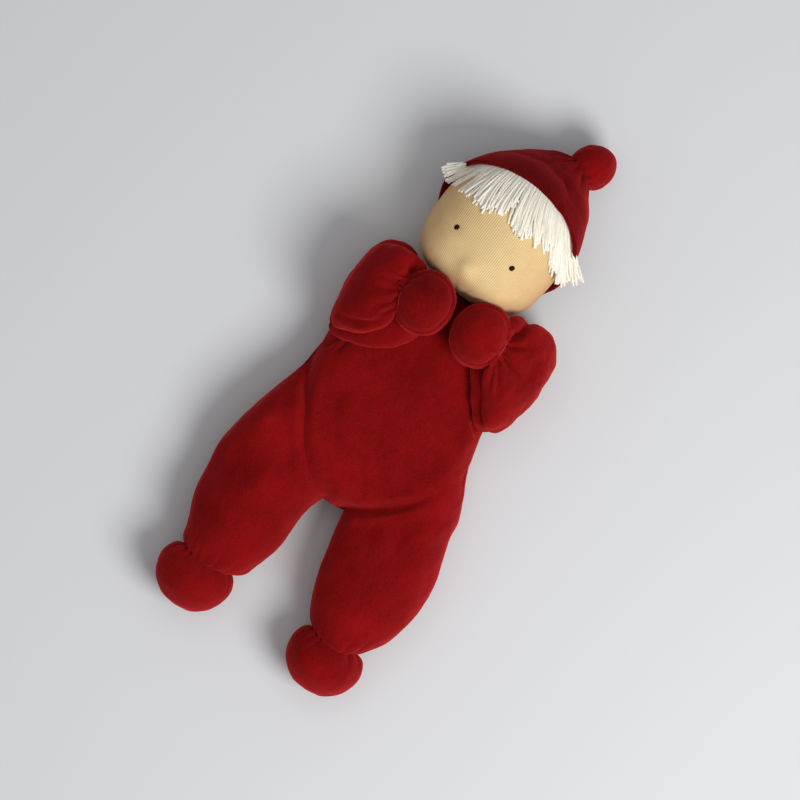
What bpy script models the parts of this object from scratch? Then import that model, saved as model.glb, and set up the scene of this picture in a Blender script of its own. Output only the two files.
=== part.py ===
"""A stuffed cloth doll lying on its back with its arms folded on its chest.

Every red part is a velour bag round a wad of wool, closed where a thread or a
seam gathers it. The head is a wound wool ball in a jersey skin, under a hood.
Metres, +Z up out of the chest, +Y towards the head, +X to the doll's left. The
origin is on the flat of the back.
"""
import math

import bmesh
import bpy
from mathutils import Matrix, Vector

# Cloth, thread and the room between pieces
VELOUR = 0.0015
JERSEY = 0.0008
FILL_GAP = 0.0003
SEAM_GAP = 0.0004
SOCKET_GAP = 0.0006
FLOOR_SINK = 0.0005
OVERRUN = 0.004
SECTION_POWER = 2.25

# Torso: a pear, widest at the waist, gathered at the neck
TORSO_LENGTH = 0.1205
TORSO_WIDTH = 0.088
TORSO_DEPTH = 0.043
TORSO_CROTCH_DROP = 0.0625
TORSO_SEGMENTS = 18
TORSO_SHARES = (
    (0.0, 0.0, 0.0),
    (0.010, 0.13, 0.30),
    (0.033, 0.28, 0.55),
    (0.079, 0.475, 0.78),
    (0.160, 0.68, 0.935),
    (0.300, 0.885, 1.0),
    (0.460, 0.995, 1.0),
    (0.618, 0.96, 0.98),
    (0.743, 0.875, 0.93),
    (0.851, 0.74, 0.85),
    (0.934, 0.57, 0.74),
    (0.983, 0.42, 0.64),
)

# Legs: drumsticks from the ankle up past the waist crease
LEG_LENGTH = 0.1142
LEG_WIDTH = 0.059
LEG_DEPTH = 0.043
LEG_SPREAD = 0.038
ANKLE_DROP = 0.0537
LEG_SEGMENTS = 14
LEG_SHARES = (
    (0.0, 1.02, 0.0, 0.0),
    (0.005, 1.02, 0.24, 0.37),
    (0.024, 1.005, 0.46, 0.65),
    (0.059, 0.99, 0.66, 0.86),
    (0.116, 0.98, 0.81, 0.96),
    (0.203, 0.976, 0.90, 0.99),
    (0.350, 0.965, 0.97, 1.0),
    (0.510, 0.915, 1.0, 0.99),
    (0.632, 0.90, 0.93, 0.97),
    (0.737, 0.985, 0.705, 0.93),
    (0.842, 1.07, 0.43, 0.83),
    (0.930, 1.12, 0.24, 0.62),
    (0.991, 1.14, 0.14, 0.37),
    (1.0, 1.14, 0.0, 0.0),
)
HIP_RISE = 0.0245
HIP_HEIGHT = 0.0335
CREASE_HEIGHT = 0.028
CREASE_OPENING = 0.008

# Balls tied off at the ankles and wrists: along and across the ball's axis, in
# shares of its length past the tie and of its radius
FOOT_LENGTH = 0.0308
FOOT_RADIUS = 0.0206
FOOT_STEM = 0.0034
HAND_LENGTH = 0.0296
HAND_RADIUS = 0.0157
HAND_STEM = 0.0032
POMPOM_LENGTH = 0.0235
POMPOM_RADIUS = 0.0110
POMPOM_STEM = 0.0030
BALL_SEGMENTS = 12
BALL_SHARES = (
    (0.118, 0.39),
    (0.150, 0.63),
    (0.230, 0.85),
    (0.385, 0.985),
    (0.60, 0.985),
    (0.78, 0.84),
    (0.925, 0.53),
    (1.0, 0.0),
)
STEM_SHARES = (
    (-0.93, 0.36),
    (-0.60, 0.80),
    (0.10, 0.99),
    (0.90, 0.88),
)
THREAD = 0.0006
THREAD_SEGMENTS = 12
THREAD_SIDES = 5

# Upper arms: pillows at the sides of the chest, from the seam out to the elbow
ARM_DROP = 0.020
ARM_SEAM_SHARE = 0.74
UPPER_ARM_ROOT = 0.0275
UPPER_ARM_LENGTH = 0.0265
UPPER_ARM_HEIGHT = 0.052
UPPER_ARM_DEPTH = 0.0286
UPPER_ARM_LIFT = 0.0010
ARM_SEGMENTS = 12
UPPER_ARM_SHARES = (
    (0.0, 0.0, 0.0),
    (0.02, 0.62, 0.56),
    (0.11, 0.83, 0.84),
    (0.29, 0.965, 0.97),
    (0.51, 1.0, 1.0),
    (0.72, 0.925, 0.95),
    (0.87, 0.73, 0.79),
    (0.965, 0.44, 0.48),
    (1.0, 0.0, 0.0),
)

# Forearms: fans folded back over the upper arms, from the wrist out to the elbow
FOREARM_LENGTH = 0.0245
FOREARM_HEIGHT = 0.0546
FOREARM_DEPTH = 0.028
WRIST_OUT = 0.0308
WRIST_RISE = 0.0093
WRIST_HEIGHT = 0.0532
ELBOW_GAP = 0.0006
FOLD_NEST = 0.0013
FOREARM_SHARES = (
    (0.0, 0.0, 0.0, 1.0),
    (0.02, 0.24, 0.40, 1.0),
    (0.10, 0.50, 0.66, 0.88),
    (0.26, 0.76, 0.86, 0.55),
    (0.47, 0.95, 1.0, 0.20),
    (0.67, 1.0, 1.0, 0.0),
    (0.83, 0.88, 0.90, 0.0),
    (0.94, 0.60, 0.64, 0.0),
    (0.99, 0.29, 0.32, 0.0),
    (1.0, 0.0, 0.0, 0.0),
)

# Neck: a bound stub whose ball sits in the torso and whose post enters the head
NECK_DROP = 0.004
NECK_SIDE = -0.0042
NECK_HEIGHT = 0.0215
NECK_BALL = 0.0086
NECK_POST = 0.0074
NECK_REACH = 0.020
NECK_TIE_RISE = 0.0056
NECK_SEGMENTS = 16
NECK_BALL_RINGS = 5
HEAD_ROLL = math.radians(-4)
HEAD_TURN = math.radians(-7)

# Head: a round ball, its bottom and top as rises above the neck's pivot
HEAD_BOTTOM = 0.0070
HEAD_LENGTH = 0.0763
HEAD_WIDTH = 0.072
HEAD_DEPTH = 0.0656
HEAD_BACK = 0.0201
HEAD_SET = HEAD_DEPTH / 2 - HEAD_BACK
HEAD_MOUTH = 0.0085
HEAD_SEGMENTS = 16
HEAD_SHARES = (
    (0.008, 0.44, 0.46, 0.30),
    (0.034, 0.635, 0.66, 0.68),
    (0.085, 0.785, 0.825, 0.93),
    (0.170, 0.90, 0.935, 1.0),
    (0.290, 0.975, 0.985, 1.0),
    (0.430, 1.0, 1.0, 1.0),
    (0.560, 0.98, 0.995, 1.0),
    (0.668, 0.915, 0.955, 1.0),
    (0.773, 0.81, 0.855, 1.0),
    (0.865, 0.66, 0.70, 1.0),
    (0.937, 0.46, 0.50, 1.0),
    (0.983, 0.22, 0.245, 1.0),
    (1.0, 0.0, 0.0, 1.0),
)
EYE_RADIUS = 0.0013
EYE_SPACING = 0.0342
EYE_RISE = 0.0256
EYE_BULGE_SHARE = 0.6
EYE_SEGMENTS = 8

# Hood: follows the head's lower rings, then runs out into a leaning peak above its crown
PEAK_RISE = 0.0037
PEAK_LEAN = 0.0090
PEAK_DROOP = 0.013
HOOD_FOLLOW_RINGS = 7
PEAK_SHARES = (
    (0.239, 0.83, 0.875, 0.0, 0.0, 0.0),
    (0.476, 0.73, 0.76, 0.10, 0.06, 0.1),
    (0.683, 0.60, 0.63, 0.30, 0.20, 0.25),
    (0.835, 0.44, 0.46, 0.58, 0.54, 0.55),
    (0.939, 0.26, 0.27, 0.86, 0.84, 0.9),
    (1.0, 0.0, 0.0, 1.0, 1.0, 1.0),
)
BRIM_FRONT_RISE = 0.0730
BRIM_FRONT_OUT = 0.0250
BRIM_NAPE_RISE = 0.0220
BRIM_NAPE_BACK = 0.0300
PEAK_AIM_SHARES = (0.45, 0.85, -0.25)

# Fringe: a bent band of yarn from under the brim down the forehead
FRINGE_LENGTH = 0.0245
FRINGE_END_SHARE = 0.62
FRINGE_THICK = 0.0022
FRINGE_FLARE = 0.0095
FRINGE_HALF_SPAN = math.radians(74)
FRINGE_COLUMNS = 16
FRINGE_ROWS = 4
FRINGE_SOLVE_STEPS = 12

# Colours as they look in plain light
VELOUR_RED = "94141B"
JERSEY_SKIN = "DDB27A"
YARN_WHITE = "EAE4D8"
WOOL_WHITE = "E9E0CC"
THREAD_RED = "6E1016"
EYE_BROWN = "3B2417"


def clear_scene():
    for old in list(bpy.data.objects):
        bpy.data.objects.remove(old)


def linear_colour(hex_colour):
    channels = []
    for start in (0, 2, 4):
        value = int(hex_colour[start:start + 2], 16) / 255
        channels.append(value / 12.92 if value <= 0.04045 else ((value + 0.055) / 1.055) ** 2.4)
    return (*channels, 1.0)


def cloth(name, hex_colour, roughness):
    material = bpy.data.materials.new(name)
    material.use_nodes = True
    shader = material.node_tree.nodes["Principled BSDF"]
    shader.inputs["Base Color"].default_value = linear_colour(hex_colour)
    shader.inputs["Roughness"].default_value = roughness
    shader.inputs["Metallic"].default_value = 0.0
    return material


def velour(name):
    return cloth(name + "_velour", VELOUR_RED, 0.85)


def wool(name):
    return cloth(name + "_wool", WOOL_WHITE, 0.95)


def thread(name):
    return cloth(name + "_thread", THREAD_RED, 0.7)


class Body:
    """A frame that pieces hang on: an empty on its joint's axis."""

    def __init__(self, name, point, turn=None, parent=None):
        self.place = Matrix.Translation(point) @ (turn or Matrix.Identity(4))
        self.empty = bpy.data.objects.new(name, None)
        bpy.context.scene.collection.objects.link(self.empty)
        self.empty.parent = parent.empty if parent else None
        carried = parent.place.inverted() if parent else Matrix.Identity(4)
        self.empty.matrix_basis = carried @ self.place

    def local(self, point):
        return self.place.inverted() @ Vector(point)


def add_object(name, bm, body, material=None):
    """A mesh object, in its body's frame; one without a material is a cutter."""
    mesh = bpy.data.meshes.new(name)
    bm.to_mesh(mesh)
    bm.free()
    obj = bpy.data.objects.new(name, mesh)
    bpy.context.scene.collection.objects.link(obj)
    obj.parent = body.empty
    if material:
        mesh.shade_smooth()
        mesh.materials.append(material)
    else:
        obj.hide_render = True
        obj.display_type = "WIRE"
    return obj


def round_section(angle, half_u, half_v):
    """A point on a rounded oval, a little fuller than an ellipse."""
    power = 2 / SECTION_POWER
    across = math.copysign(abs(math.cos(angle)) ** power, math.cos(angle))
    up = math.copysign(abs(math.sin(angle)) ** power, math.sin(angle))
    return half_u * across, half_v * up


def plain_section(angle, half_u, half_v):
    return half_u * math.cos(angle), half_v * math.sin(angle)


def ring_surface(rings, segments, to_point, section=round_section):
    """Bridges rings (along, centre_u, half_u, centre_v, half_v); a ring of no size is a pole."""
    bm = bmesh.new()
    loops = []
    for along, centre_u, half_u, centre_v, half_v in rings:
        if half_u == 0:
            loops.append([bm.verts.new(to_point(along, centre_u, centre_v))])
            continue
        loop = []
        for step in range(segments):
            u, v = section(2 * math.pi * step / segments, half_u, half_v)
            loop.append(bm.verts.new(to_point(along, centre_u + u, centre_v + v)))
        loops.append(loop)
    for low, high in zip(loops, loops[1:]):
        for step in range(segments):
            after = (step + 1) % segments
            if len(low) == 1:
                bm.faces.new((low[0], high[step], high[after]))
            elif len(high) == 1:
                bm.faces.new((low[step], low[after], high[0]))
            else:
                bm.faces.new((low[step], low[after], high[after], high[step]))
    bmesh.ops.recalc_face_normals(bm, faces=bm.faces)
    return bm


def flatten_on_floor(bm, body):
    """Cuts away what sinks below the floor and closes the cut with one flat face."""
    to_local = body.place.inverted()
    down = to_local.to_3x3() @ Vector((0, 0, -1))
    everything = [*bm.verts, *bm.edges, *bm.faces]
    cut = bmesh.ops.bisect_plane(
        bm, geom=everything, plane_co=to_local.translation, plane_no=down, clear_outer=True)
    rim = [item for item in cut["geom_cut"] if isinstance(item, bmesh.types.BMEdge)]
    if rim:
        bmesh.ops.edgeloop_fill(bm, edges=rim)
        bmesh.ops.recalc_face_normals(bm, faces=bm.faces)


def close_mouths(bm):
    rim = [edge for edge in bm.edges if edge.is_boundary]
    if rim:
        bmesh.ops.edgeloop_fill(bm, edges=rim)
        bmesh.ops.recalc_face_normals(bm, faces=bm.faces)


def move_along_normals(bm, distance):
    bm.normal_update()
    moves = [(vert, vert.normal * vert.calc_shell_factor() * distance) for vert in bm.verts]
    for vert, move in moves:
        vert.co += move


def add_wall(obj, thickness):
    wall = obj.modifiers.new("cloth_wall", "SOLIDIFY")
    wall.thickness = thickness
    wall.offset = -1
    wall.use_even_offset = True
    return wall


def cut_with(obj, cutter):
    cut = obj.modifiers.new("cut_" + cutter.name, "BOOLEAN")
    cut.operation = "DIFFERENCE"
    cut.solver = "EXACT"
    cut.object = cutter
    return cut


def stuffed_pair(name, body, make_surface, wall, cutters=(), wool_cutters=(), stuffing=None):
    """A cloth bag and the wool in it, from one surface, with the same cuts."""
    bag = add_object(name + "_cover", make_surface(), body, velour(name))
    add_wall(bag, wall)
    inner = stuffing() if stuffing else make_surface()
    close_mouths(inner)
    move_along_normals(inner, -(wall + FILL_GAP))
    wad = add_object(name + "_wool", inner, body, wool(name))
    for cutter in cutters:
        cut_with(bag, cutter)
    for cutter in (*cutters, *wool_cutters):
        cut_with(wad, cutter)


def ball_cutter(name, body, centre, radius, segments=BALL_SEGMENTS):
    bm = bmesh.new()
    bmesh.ops.create_uvsphere(bm, u_segments=segments, v_segments=segments // 2, radius=radius)
    bmesh.ops.translate(bm, verts=bm.verts, vec=centre)
    return add_object(name, bm, body)


def tie_thread(name, body, radius, rise, axis_turn):
    """A ring of thread round a neck, in the body's frame, on the ball's axis."""
    bm = bmesh.new()
    loops = []
    for step in range(THREAD_SEGMENTS):
        around = 2 * math.pi * step / THREAD_SEGMENTS
        loop = []
        for side in range(THREAD_SIDES):
            turn = 2 * math.pi * side / THREAD_SIDES
            out = radius + THREAD * math.cos(turn)
            height = rise + THREAD * math.sin(turn)
            point = Vector((out * math.cos(around), height, out * math.sin(around)))
            loop.append(bm.verts.new(axis_turn @ point))
        loops.append(loop)
    for index, loop in enumerate(loops):
        ahead = loops[(index + 1) % THREAD_SEGMENTS]
        for side in range(THREAD_SIDES):
            after = (side + 1) % THREAD_SIDES
            bm.faces.new((loop[side], loop[after], ahead[after], ahead[side]))
    bmesh.ops.recalc_face_normals(bm, faces=bm.faces)
    add_object(name, bm, body, thread(name))


def tied_ball(name, tie_name, body, length, radius, stem, axis_turn, rests=False):
    """A stuffed ball with a gathered stem; its rounded stem end is centred on the pivot."""
    def rings(shares, long, wide):
        return [(along * long, 0, size * wide, 0, size * wide) for along, size in shares]

    stem_rings = rings(STEM_SHARES, stem, stem)
    ball_rings = rings(BALL_SHARES, length, radius)

    def surface(chosen):
        bm = ring_surface(
            chosen, BALL_SEGMENTS, lambda along, u, v: axis_turn @ Vector((u, along, v)), plain_section)
        if rests:
            flatten_on_floor(bm, body)
        return bm

    stuffed_pair(
        name, body, lambda: surface(stem_rings + ball_rings), VELOUR, stuffing=lambda: surface(ball_rings))
    neck_share, narrow_share = STEM_SHARES[-1]
    tie_radius = narrow_share * stem + THREAD + FILL_GAP
    tie_thread(tie_name, body, tie_radius, neck_share * stem - THREAD, axis_turn)


def torso_rings():
    """The pear's rings, with the last one gathered round the neck's ball."""
    bottom = -TORSO_CROTCH_DROP
    middle = TORSO_DEPTH / 2 - FLOOR_SINK
    mouth = NECK_BALL + SOCKET_GAP + VELOUR
    return [
        (bottom + along * TORSO_LENGTH, 0, wide * TORSO_WIDTH / 2, middle, deep * TORSO_DEPTH / 2)
        for along, wide, deep in TORSO_SHARES
    ] + [(bottom + TORSO_LENGTH, NECK_SIDE, mouth, NECK_HEIGHT, mouth)]


def seam_cutter(body, name, opening):
    """The torso's outline as a plug, straight below the crease and opening above it."""
    right = [(half, along) for along, _, half, _, _ in torso_rings()]
    outline = right + [(-half, along) for half, along in reversed(right) if half > 0]
    bm = bmesh.new()
    levels = (
        (-OVERRUN, SEAM_GAP),
        (CREASE_HEIGHT, SEAM_GAP),
        (TORSO_DEPTH + OVERRUN, SEAM_GAP + opening))
    loops = []
    for height, room in levels:
        loop = []
        for index, (x, y) in enumerate(outline):
            ahead = Vector(outline[(index + 1) % len(outline)])
            behind = Vector(outline[index - 1])
            run = (ahead - behind).normalized()
            loop.append(bm.verts.new((x + run.y * room, y - run.x * room, height)))
        loops.append(loop)
    for low, high in zip(loops, loops[1:]):
        for index in range(len(outline)):
            after = (index + 1) % len(outline)
            bm.faces.new((low[index], low[after], high[after], high[index]))
    bm.faces.new(loops[0])
    bm.faces.new(loops[-1])
    bmesh.ops.recalc_face_normals(bm, faces=bm.faces)
    return add_object(name, bm, body)


def make_torso(body, neck_point):
    def surface():
        bm = ring_surface(torso_rings(), TORSO_SEGMENTS, lambda along, u, v: (u, along, v))
        flatten_on_floor(bm, body)
        return bm

    socket = ball_cutter("neck_socket", body, neck_point, NECK_BALL + SOCKET_GAP, NECK_SEGMENTS)
    stuffed_pair("torso", body, surface, VELOUR, wool_cutters=(socket,))


def make_leg(side, side_name, torso, crease):
    hip_y = -TORSO_CROTCH_DROP + HIP_RISE
    ankle_y = -TORSO_CROTCH_DROP - ANKLE_DROP
    middle = LEG_DEPTH / 2 - FLOOR_SINK
    hip = Body("hip_" + side_name, (side * LEG_SPREAD, hip_y, HIP_HEIGHT), parent=torso)
    rings = [
        (ankle_y + along * LEG_LENGTH, centre * LEG_SPREAD, wide * LEG_WIDTH / 2,
         middle, deep * LEG_DEPTH / 2)
        for along, centre, wide, deep in LEG_SHARES]

    def surface():
        bm = ring_surface(rings, LEG_SEGMENTS, lambda along, u, v: hip.local((side * u, along, v)))
        bmesh.ops.triangulate(bm, faces=bm.faces)
        flatten_on_floor(bm, hip)
        return bm

    widest_share = max(size for _, size in BALL_SHARES)
    ankle_height = widest_share * FOOT_RADIUS - FLOOR_SINK
    ankle_point = Vector((side * LEG_SHARES[0][1] * LEG_SPREAD, ankle_y, ankle_height))
    socket = ball_cutter(
        "ankle_socket_" + side_name, hip, hip.local(ankle_point), FOOT_STEM + SOCKET_GAP)
    stuffed_pair("leg_" + side_name, hip, surface, VELOUR, (crease, socket))
    ankle = Body("ankle_" + side_name, ankle_point, parent=hip)
    down = Matrix.Rotation(math.pi, 4, "Z")
    tied_ball(
        "foot_" + side_name, "ankle_tie_" + side_name, ankle,
        FOOT_LENGTH, FOOT_RADIUS, FOOT_STEM, down, rests=True)


def make_arm(side, side_name, torso, seam):
    arm_y = TORSO_LENGTH - TORSO_CROTCH_DROP - ARM_DROP
    upper_middle = UPPER_ARM_LIFT + UPPER_ARM_DEPTH / 2
    seam_x = TORSO_WIDTH / 2 * ARM_SEAM_SHARE
    shoulder = Body("shoulder_" + side_name, (side * seam_x, arm_y, UPPER_ARM_LIFT), parent=torso)
    upper_rings = [
        (UPPER_ARM_ROOT + along * UPPER_ARM_LENGTH, arm_y, high * UPPER_ARM_HEIGHT / 2,
         upper_middle, deep * UPPER_ARM_DEPTH / 2)
        for along, high, deep in UPPER_ARM_SHARES]

    def upper_surface():
        return ring_surface(
            upper_rings, ARM_SEGMENTS, lambda along, u, v: shoulder.local((side * along, u, v)))

    stuffed_pair("upper_arm_" + side_name, shoulder, upper_surface, VELOUR, (seam,))

    elbow_x = UPPER_ARM_ROOT + UPPER_ARM_LENGTH
    elbow_height = UPPER_ARM_LIFT + UPPER_ARM_DEPTH + ELBOW_GAP / 2
    elbow = Body("elbow_" + side_name, (side * elbow_x, arm_y, elbow_height), parent=shoulder)
    fold_middle = elbow_height + ELBOW_GAP / 2 + FOREARM_DEPTH / 2 - FOLD_NEST
    wrist_point = Vector((side * WRIST_OUT, arm_y + WRIST_RISE, WRIST_HEIGHT))
    fore_rings = [
        (WRIST_OUT + along * FOREARM_LENGTH, arm_y + lift * WRIST_RISE, high * FOREARM_HEIGHT / 2,
         fold_middle + lift * (WRIST_HEIGHT - fold_middle), deep * FOREARM_DEPTH / 2)
        for along, high, deep, lift in FOREARM_SHARES]

    def fore_surface():
        return ring_surface(
            fore_rings, ARM_SEGMENTS, lambda along, u, v: elbow.local((side * along, u, v)))

    socket = ball_cutter(
        "wrist_socket_" + side_name, elbow, elbow.local(wrist_point), HAND_STEM + SOCKET_GAP)
    stuffed_pair("forearm_" + side_name, elbow, fore_surface, VELOUR, (socket,))
    wrist = Body("wrist_" + side_name, wrist_point, parent=elbow)
    inward = Matrix.Rotation(side * math.pi / 2, 4, "Z")
    tied_ball(
        "hand_" + side_name, "wrist_tie_" + side_name, wrist,
        HAND_LENGTH, HAND_RADIUS, HAND_STEM, inward)


def head_rings():
    mouth = (HEAD_BOTTOM, 0, HEAD_MOUTH, 0, HEAD_MOUTH)
    return [mouth] + [
        (HEAD_BOTTOM + along * HEAD_LENGTH, 0, wide * HEAD_WIDTH / 2, HEAD_SET * shift, deep * HEAD_DEPTH / 2)
        for along, wide, deep, shift in HEAD_SHARES]


def head_size_at(rise):
    """The head's half width and half depth at a rise above the neck's pivot."""
    rings = head_rings()
    for low, high in zip(rings, rings[1:]):
        if low[0] <= rise <= high[0]:
            share = (rise - low[0]) / (high[0] - low[0])
            return low[2] + share * (high[2] - low[2]), low[4] + share * (high[4] - low[4])
    return rings[-1][2], rings[-1][4]


def make_neck(neck):
    """A spun stub: a ball below, a post above, closed at both ends."""
    top_angle = math.asin(NECK_POST / NECK_BALL)
    rings = [(-NECK_BALL, 0, 0, 0, 0)]
    for step in range(1, NECK_BALL_RINGS + 1):
        angle = step * (math.pi - top_angle) / NECK_BALL_RINGS
        size = NECK_BALL * math.sin(angle)
        rings.append((-NECK_BALL * math.cos(angle), 0, size, 0, size))
    rings.append((NECK_REACH, 0, NECK_POST, 0, NECK_POST))
    rings.append((NECK_REACH, 0, 0, 0, 0))
    bm = ring_surface(rings, NECK_SEGMENTS, lambda along, u, v: (u, along, v), plain_section)
    add_object("neck_stub", bm, neck, cloth("neck_gauze", JERSEY_SKIN, 0.9))
    tie_thread("neck_tie", neck, NECK_POST + THREAD + FILL_GAP, NECK_TIE_RISE, Matrix.Identity(4))


def make_head(head):
    def surface():
        return ring_surface(head_rings(), HEAD_SEGMENTS, lambda along, u, v: (u, along, v))

    skin = add_object("head_skin", surface(), head, cloth("head_jersey", JERSEY_SKIN, 0.85))
    add_wall(skin, JERSEY)
    inner = surface()
    close_mouths(inner)
    move_along_normals(inner, -(JERSEY + FILL_GAP))
    core = add_object("head_core", inner, head, wool("head"))
    hole = NECK_POST + SOCKET_GAP
    bottom = HEAD_BOTTOM - OVERRUN
    top = NECK_REACH + FILL_GAP
    rings = [(bottom, 0, 0, 0, 0), (bottom, 0, hole, 0, hole), (top, 0, hole, 0, hole), (top, 0, 0, 0, 0)]
    bm = ring_surface(rings, NECK_SEGMENTS, lambda along, u, v: (u, along, v), plain_section)
    cut_with(core, add_object("neck_hole", bm, head))


def make_eyes(head):
    rise = HEAD_BOTTOM + EYE_RISE
    half_wide, half_deep = head_size_at(rise)
    across = EYE_SPACING / 2
    fall = 1 - (across / half_wide) ** SECTION_POWER
    front = HEAD_SET + half_deep * fall ** (1 / SECTION_POWER)
    lean = math.atan2(across / half_wide ** 2, (front - HEAD_SET) / half_deep ** 2)
    for side, side_name in ((1, "left"), (-1, "right")):
        bm = bmesh.new()
        bmesh.ops.create_uvsphere(
            bm, u_segments=EYE_SEGMENTS, v_segments=EYE_SEGMENTS // 2, radius=EYE_RADIUS)
        bmesh.ops.scale(bm, vec=(1, 1, EYE_BULGE_SHARE), verts=bm.verts)
        bmesh.ops.rotate(bm, verts=bm.verts, matrix=Matrix.Rotation(side * lean, 3, "Y"))
        out = EYE_RADIUS * EYE_BULGE_SHARE + FILL_GAP
        seat = Vector((side * (across + out * math.sin(lean)), rise, front + out * math.cos(lean)))
        bmesh.ops.translate(bm, verts=bm.verts, vec=seat)
        add_object("eye_" + side_name, bm, head, cloth("eye_thread_" + side_name, EYE_BROWN, 0.6))


def brim_direction():
    run = Vector((0, BRIM_FRONT_RISE - BRIM_NAPE_RISE, BRIM_FRONT_OUT + BRIM_NAPE_BACK))
    return run.normalized()


def tilt_peak_rings(bm, peak):
    """Leans the peak's rings step by step, until the last ones face the pompom."""
    aim_x, aim_y, aim_z = PEAK_AIM_SHARES
    bm.verts.ensure_lookup_table()
    last = len(bm.verts)
    for ring, shares in zip(reversed(peak), reversed(PEAK_SHARES)):
        _, centre_u, half_u, centre_v, _ = ring
        first = last - (HEAD_SEGMENTS if half_u else 1)
        for vert in bm.verts[first:last]:
            off_axis = aim_x * (vert.co.x - centre_u) + aim_z * (vert.co.z - centre_v)
            vert.co.y -= shares[-1] * off_axis / aim_y
        last = first


def make_hood(head):
    follow = head_rings()[2:HOOD_FOLLOW_RINGS + 2]
    start = follow[-1][0]
    end = HEAD_BOTTOM + HEAD_LENGTH + PEAK_RISE
    peak = [
        (start + along * (end - start), lean * PEAK_LEAN, wide * HEAD_WIDTH / 2,
         HEAD_SET - droop * PEAK_DROOP, deep * HEAD_DEPTH / 2)
        for along, wide, deep, lean, droop, _ in PEAK_SHARES]
    bm = ring_surface(follow + peak, HEAD_SEGMENTS, lambda along, u, v: (u, along, v))
    tilt_peak_rings(bm, peak)
    move_along_normals(bm, VELOUR + FILL_GAP)
    flatten_on_floor(bm, head)
    hood = add_object("hood", bm, head, velour("hood"))
    add_wall(hood, VELOUR)

    run = brim_direction()
    size = 2 * (HEAD_WIDTH + HEAD_LENGTH)
    block = bmesh.new()
    bmesh.ops.create_cube(block, size=size)
    bmesh.ops.translate(block, verts=block.verts, vec=(0, 0, size / 2))
    tilt = Vector((0, 1, 0)).rotation_difference(run).to_matrix()
    bmesh.ops.rotate(block, verts=block.verts, matrix=tilt)
    nape = Vector((0, BRIM_NAPE_RISE, HEAD_SET - BRIM_NAPE_BACK))
    bmesh.ops.translate(block, verts=block.verts, vec=nape)
    cut_with(hood, add_object("brim_cut", block, head))
    tip = Vector((PEAK_LEAN, end, HEAD_SET - PEAK_DROOP))
    tip += Vector(PEAK_AIM_SHARES).normalized() * (VELOUR + FILL_GAP)
    cut_with(hood, ball_cutter("pompom_socket", head, tip, POMPOM_STEM + SOCKET_GAP))
    return tip


def make_fringe(head):
    """A bent sheet that follows the forehead and flares out past its ends."""
    run = brim_direction()
    slope = run.y / run.z
    bm = bmesh.new()
    rows = []
    for row in range(FRINGE_ROWS + 1):
        fall = row / FRINGE_ROWS
        line = []
        for column in range(FRINGE_COLUMNS + 1):
            across = 2 * column / FRINGE_COLUMNS - 1
            angle = math.pi / 2 - across * FRINGE_HALF_SPAN
            root = BRIM_NAPE_RISE
            for _ in range(FRINGE_SOLVE_STEPS):
                half_wide, half_deep = head_size_at(root)
                out = half_deep * abs(math.sin(angle)) ** (2 / SECTION_POWER)
                brim = BRIM_NAPE_RISE + slope * (BRIM_NAPE_BACK + out) - 2 * SOCKET_GAP
                root = (root + brim) / 2
            rise = root - fall * FRINGE_LENGTH * (1 - (1 - FRINGE_END_SHARE) * across ** 2)
            half_wide, half_deep = head_size_at(rise)
            room = SOCKET_GAP + FRINGE_FLARE * fall * across ** 4
            u, v = round_section(angle, half_wide + room, half_deep + room)
            line.append(bm.verts.new((u, rise, HEAD_SET + v)))
        rows.append(line)
    for upper, lower in zip(rows, rows[1:]):
        for column in range(FRINGE_COLUMNS):
            bm.faces.new((upper[column], lower[column], lower[column + 1], upper[column + 1]))
    fringe = add_object("hair_fringe", bm, head, cloth("fringe_yarn", YARN_WHITE, 0.9))
    wall = add_wall(fringe, FRINGE_THICK)
    wall.offset = 1


def make_pompom(head, tip):
    aim = Vector(PEAK_AIM_SHARES).normalized()
    pompom = Body("pompom_pivot", head.place @ tip, head.place.to_3x3().to_4x4(), parent=head)
    axis_turn = Vector((0, 1, 0)).rotation_difference(aim).to_matrix().to_4x4()
    tied_ball(
        "pompom", "pompom_tie", pompom, POMPOM_LENGTH, POMPOM_RADIUS, POMPOM_STEM, axis_turn)


def main():
    clear_scene()
    torso = Body("torso_frame", (0, 0, 0))
    crease = seam_cutter(torso, "hip_seam_cut", CREASE_OPENING)
    seam = seam_cutter(torso, "side_seam_cut", 0)
    neck_y = TORSO_LENGTH - TORSO_CROTCH_DROP - NECK_DROP
    neck_point = Vector((NECK_SIDE, neck_y, NECK_HEIGHT))
    make_torso(torso, neck_point)
    for side, side_name in ((1, "left"), (-1, "right")):
        make_leg(side, side_name, torso, crease)
        make_arm(side, side_name, torso, seam)
    rolled = Matrix.Rotation(HEAD_ROLL, 4, "Z")
    neck = Body("neck_pivot", neck_point, rolled, parent=torso)
    make_neck(neck)
    turned = rolled @ Matrix.Rotation(HEAD_TURN, 4, "Y")
    head = Body("head_pivot", neck_point, turned, parent=neck)
    make_head(head)
    make_eyes(head)
    tip = make_hood(head)
    make_fringe(head)
    make_pompom(head, tip)


main()
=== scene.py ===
"""A waldorf doll of crimson velour and knitted cotton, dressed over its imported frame.

Everything is in metres on the doll's own axes: it lies on its back, +Y runs to the head and +X is its left.
"""

import math

import bmesh
import bpy
import numpy as np
from bpy.props import FloatProperty, FloatVectorProperty, IntProperty, PointerProperty
from mathutils import Matrix, Vector
from mathutils.bvhtree import BVHTree


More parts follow.
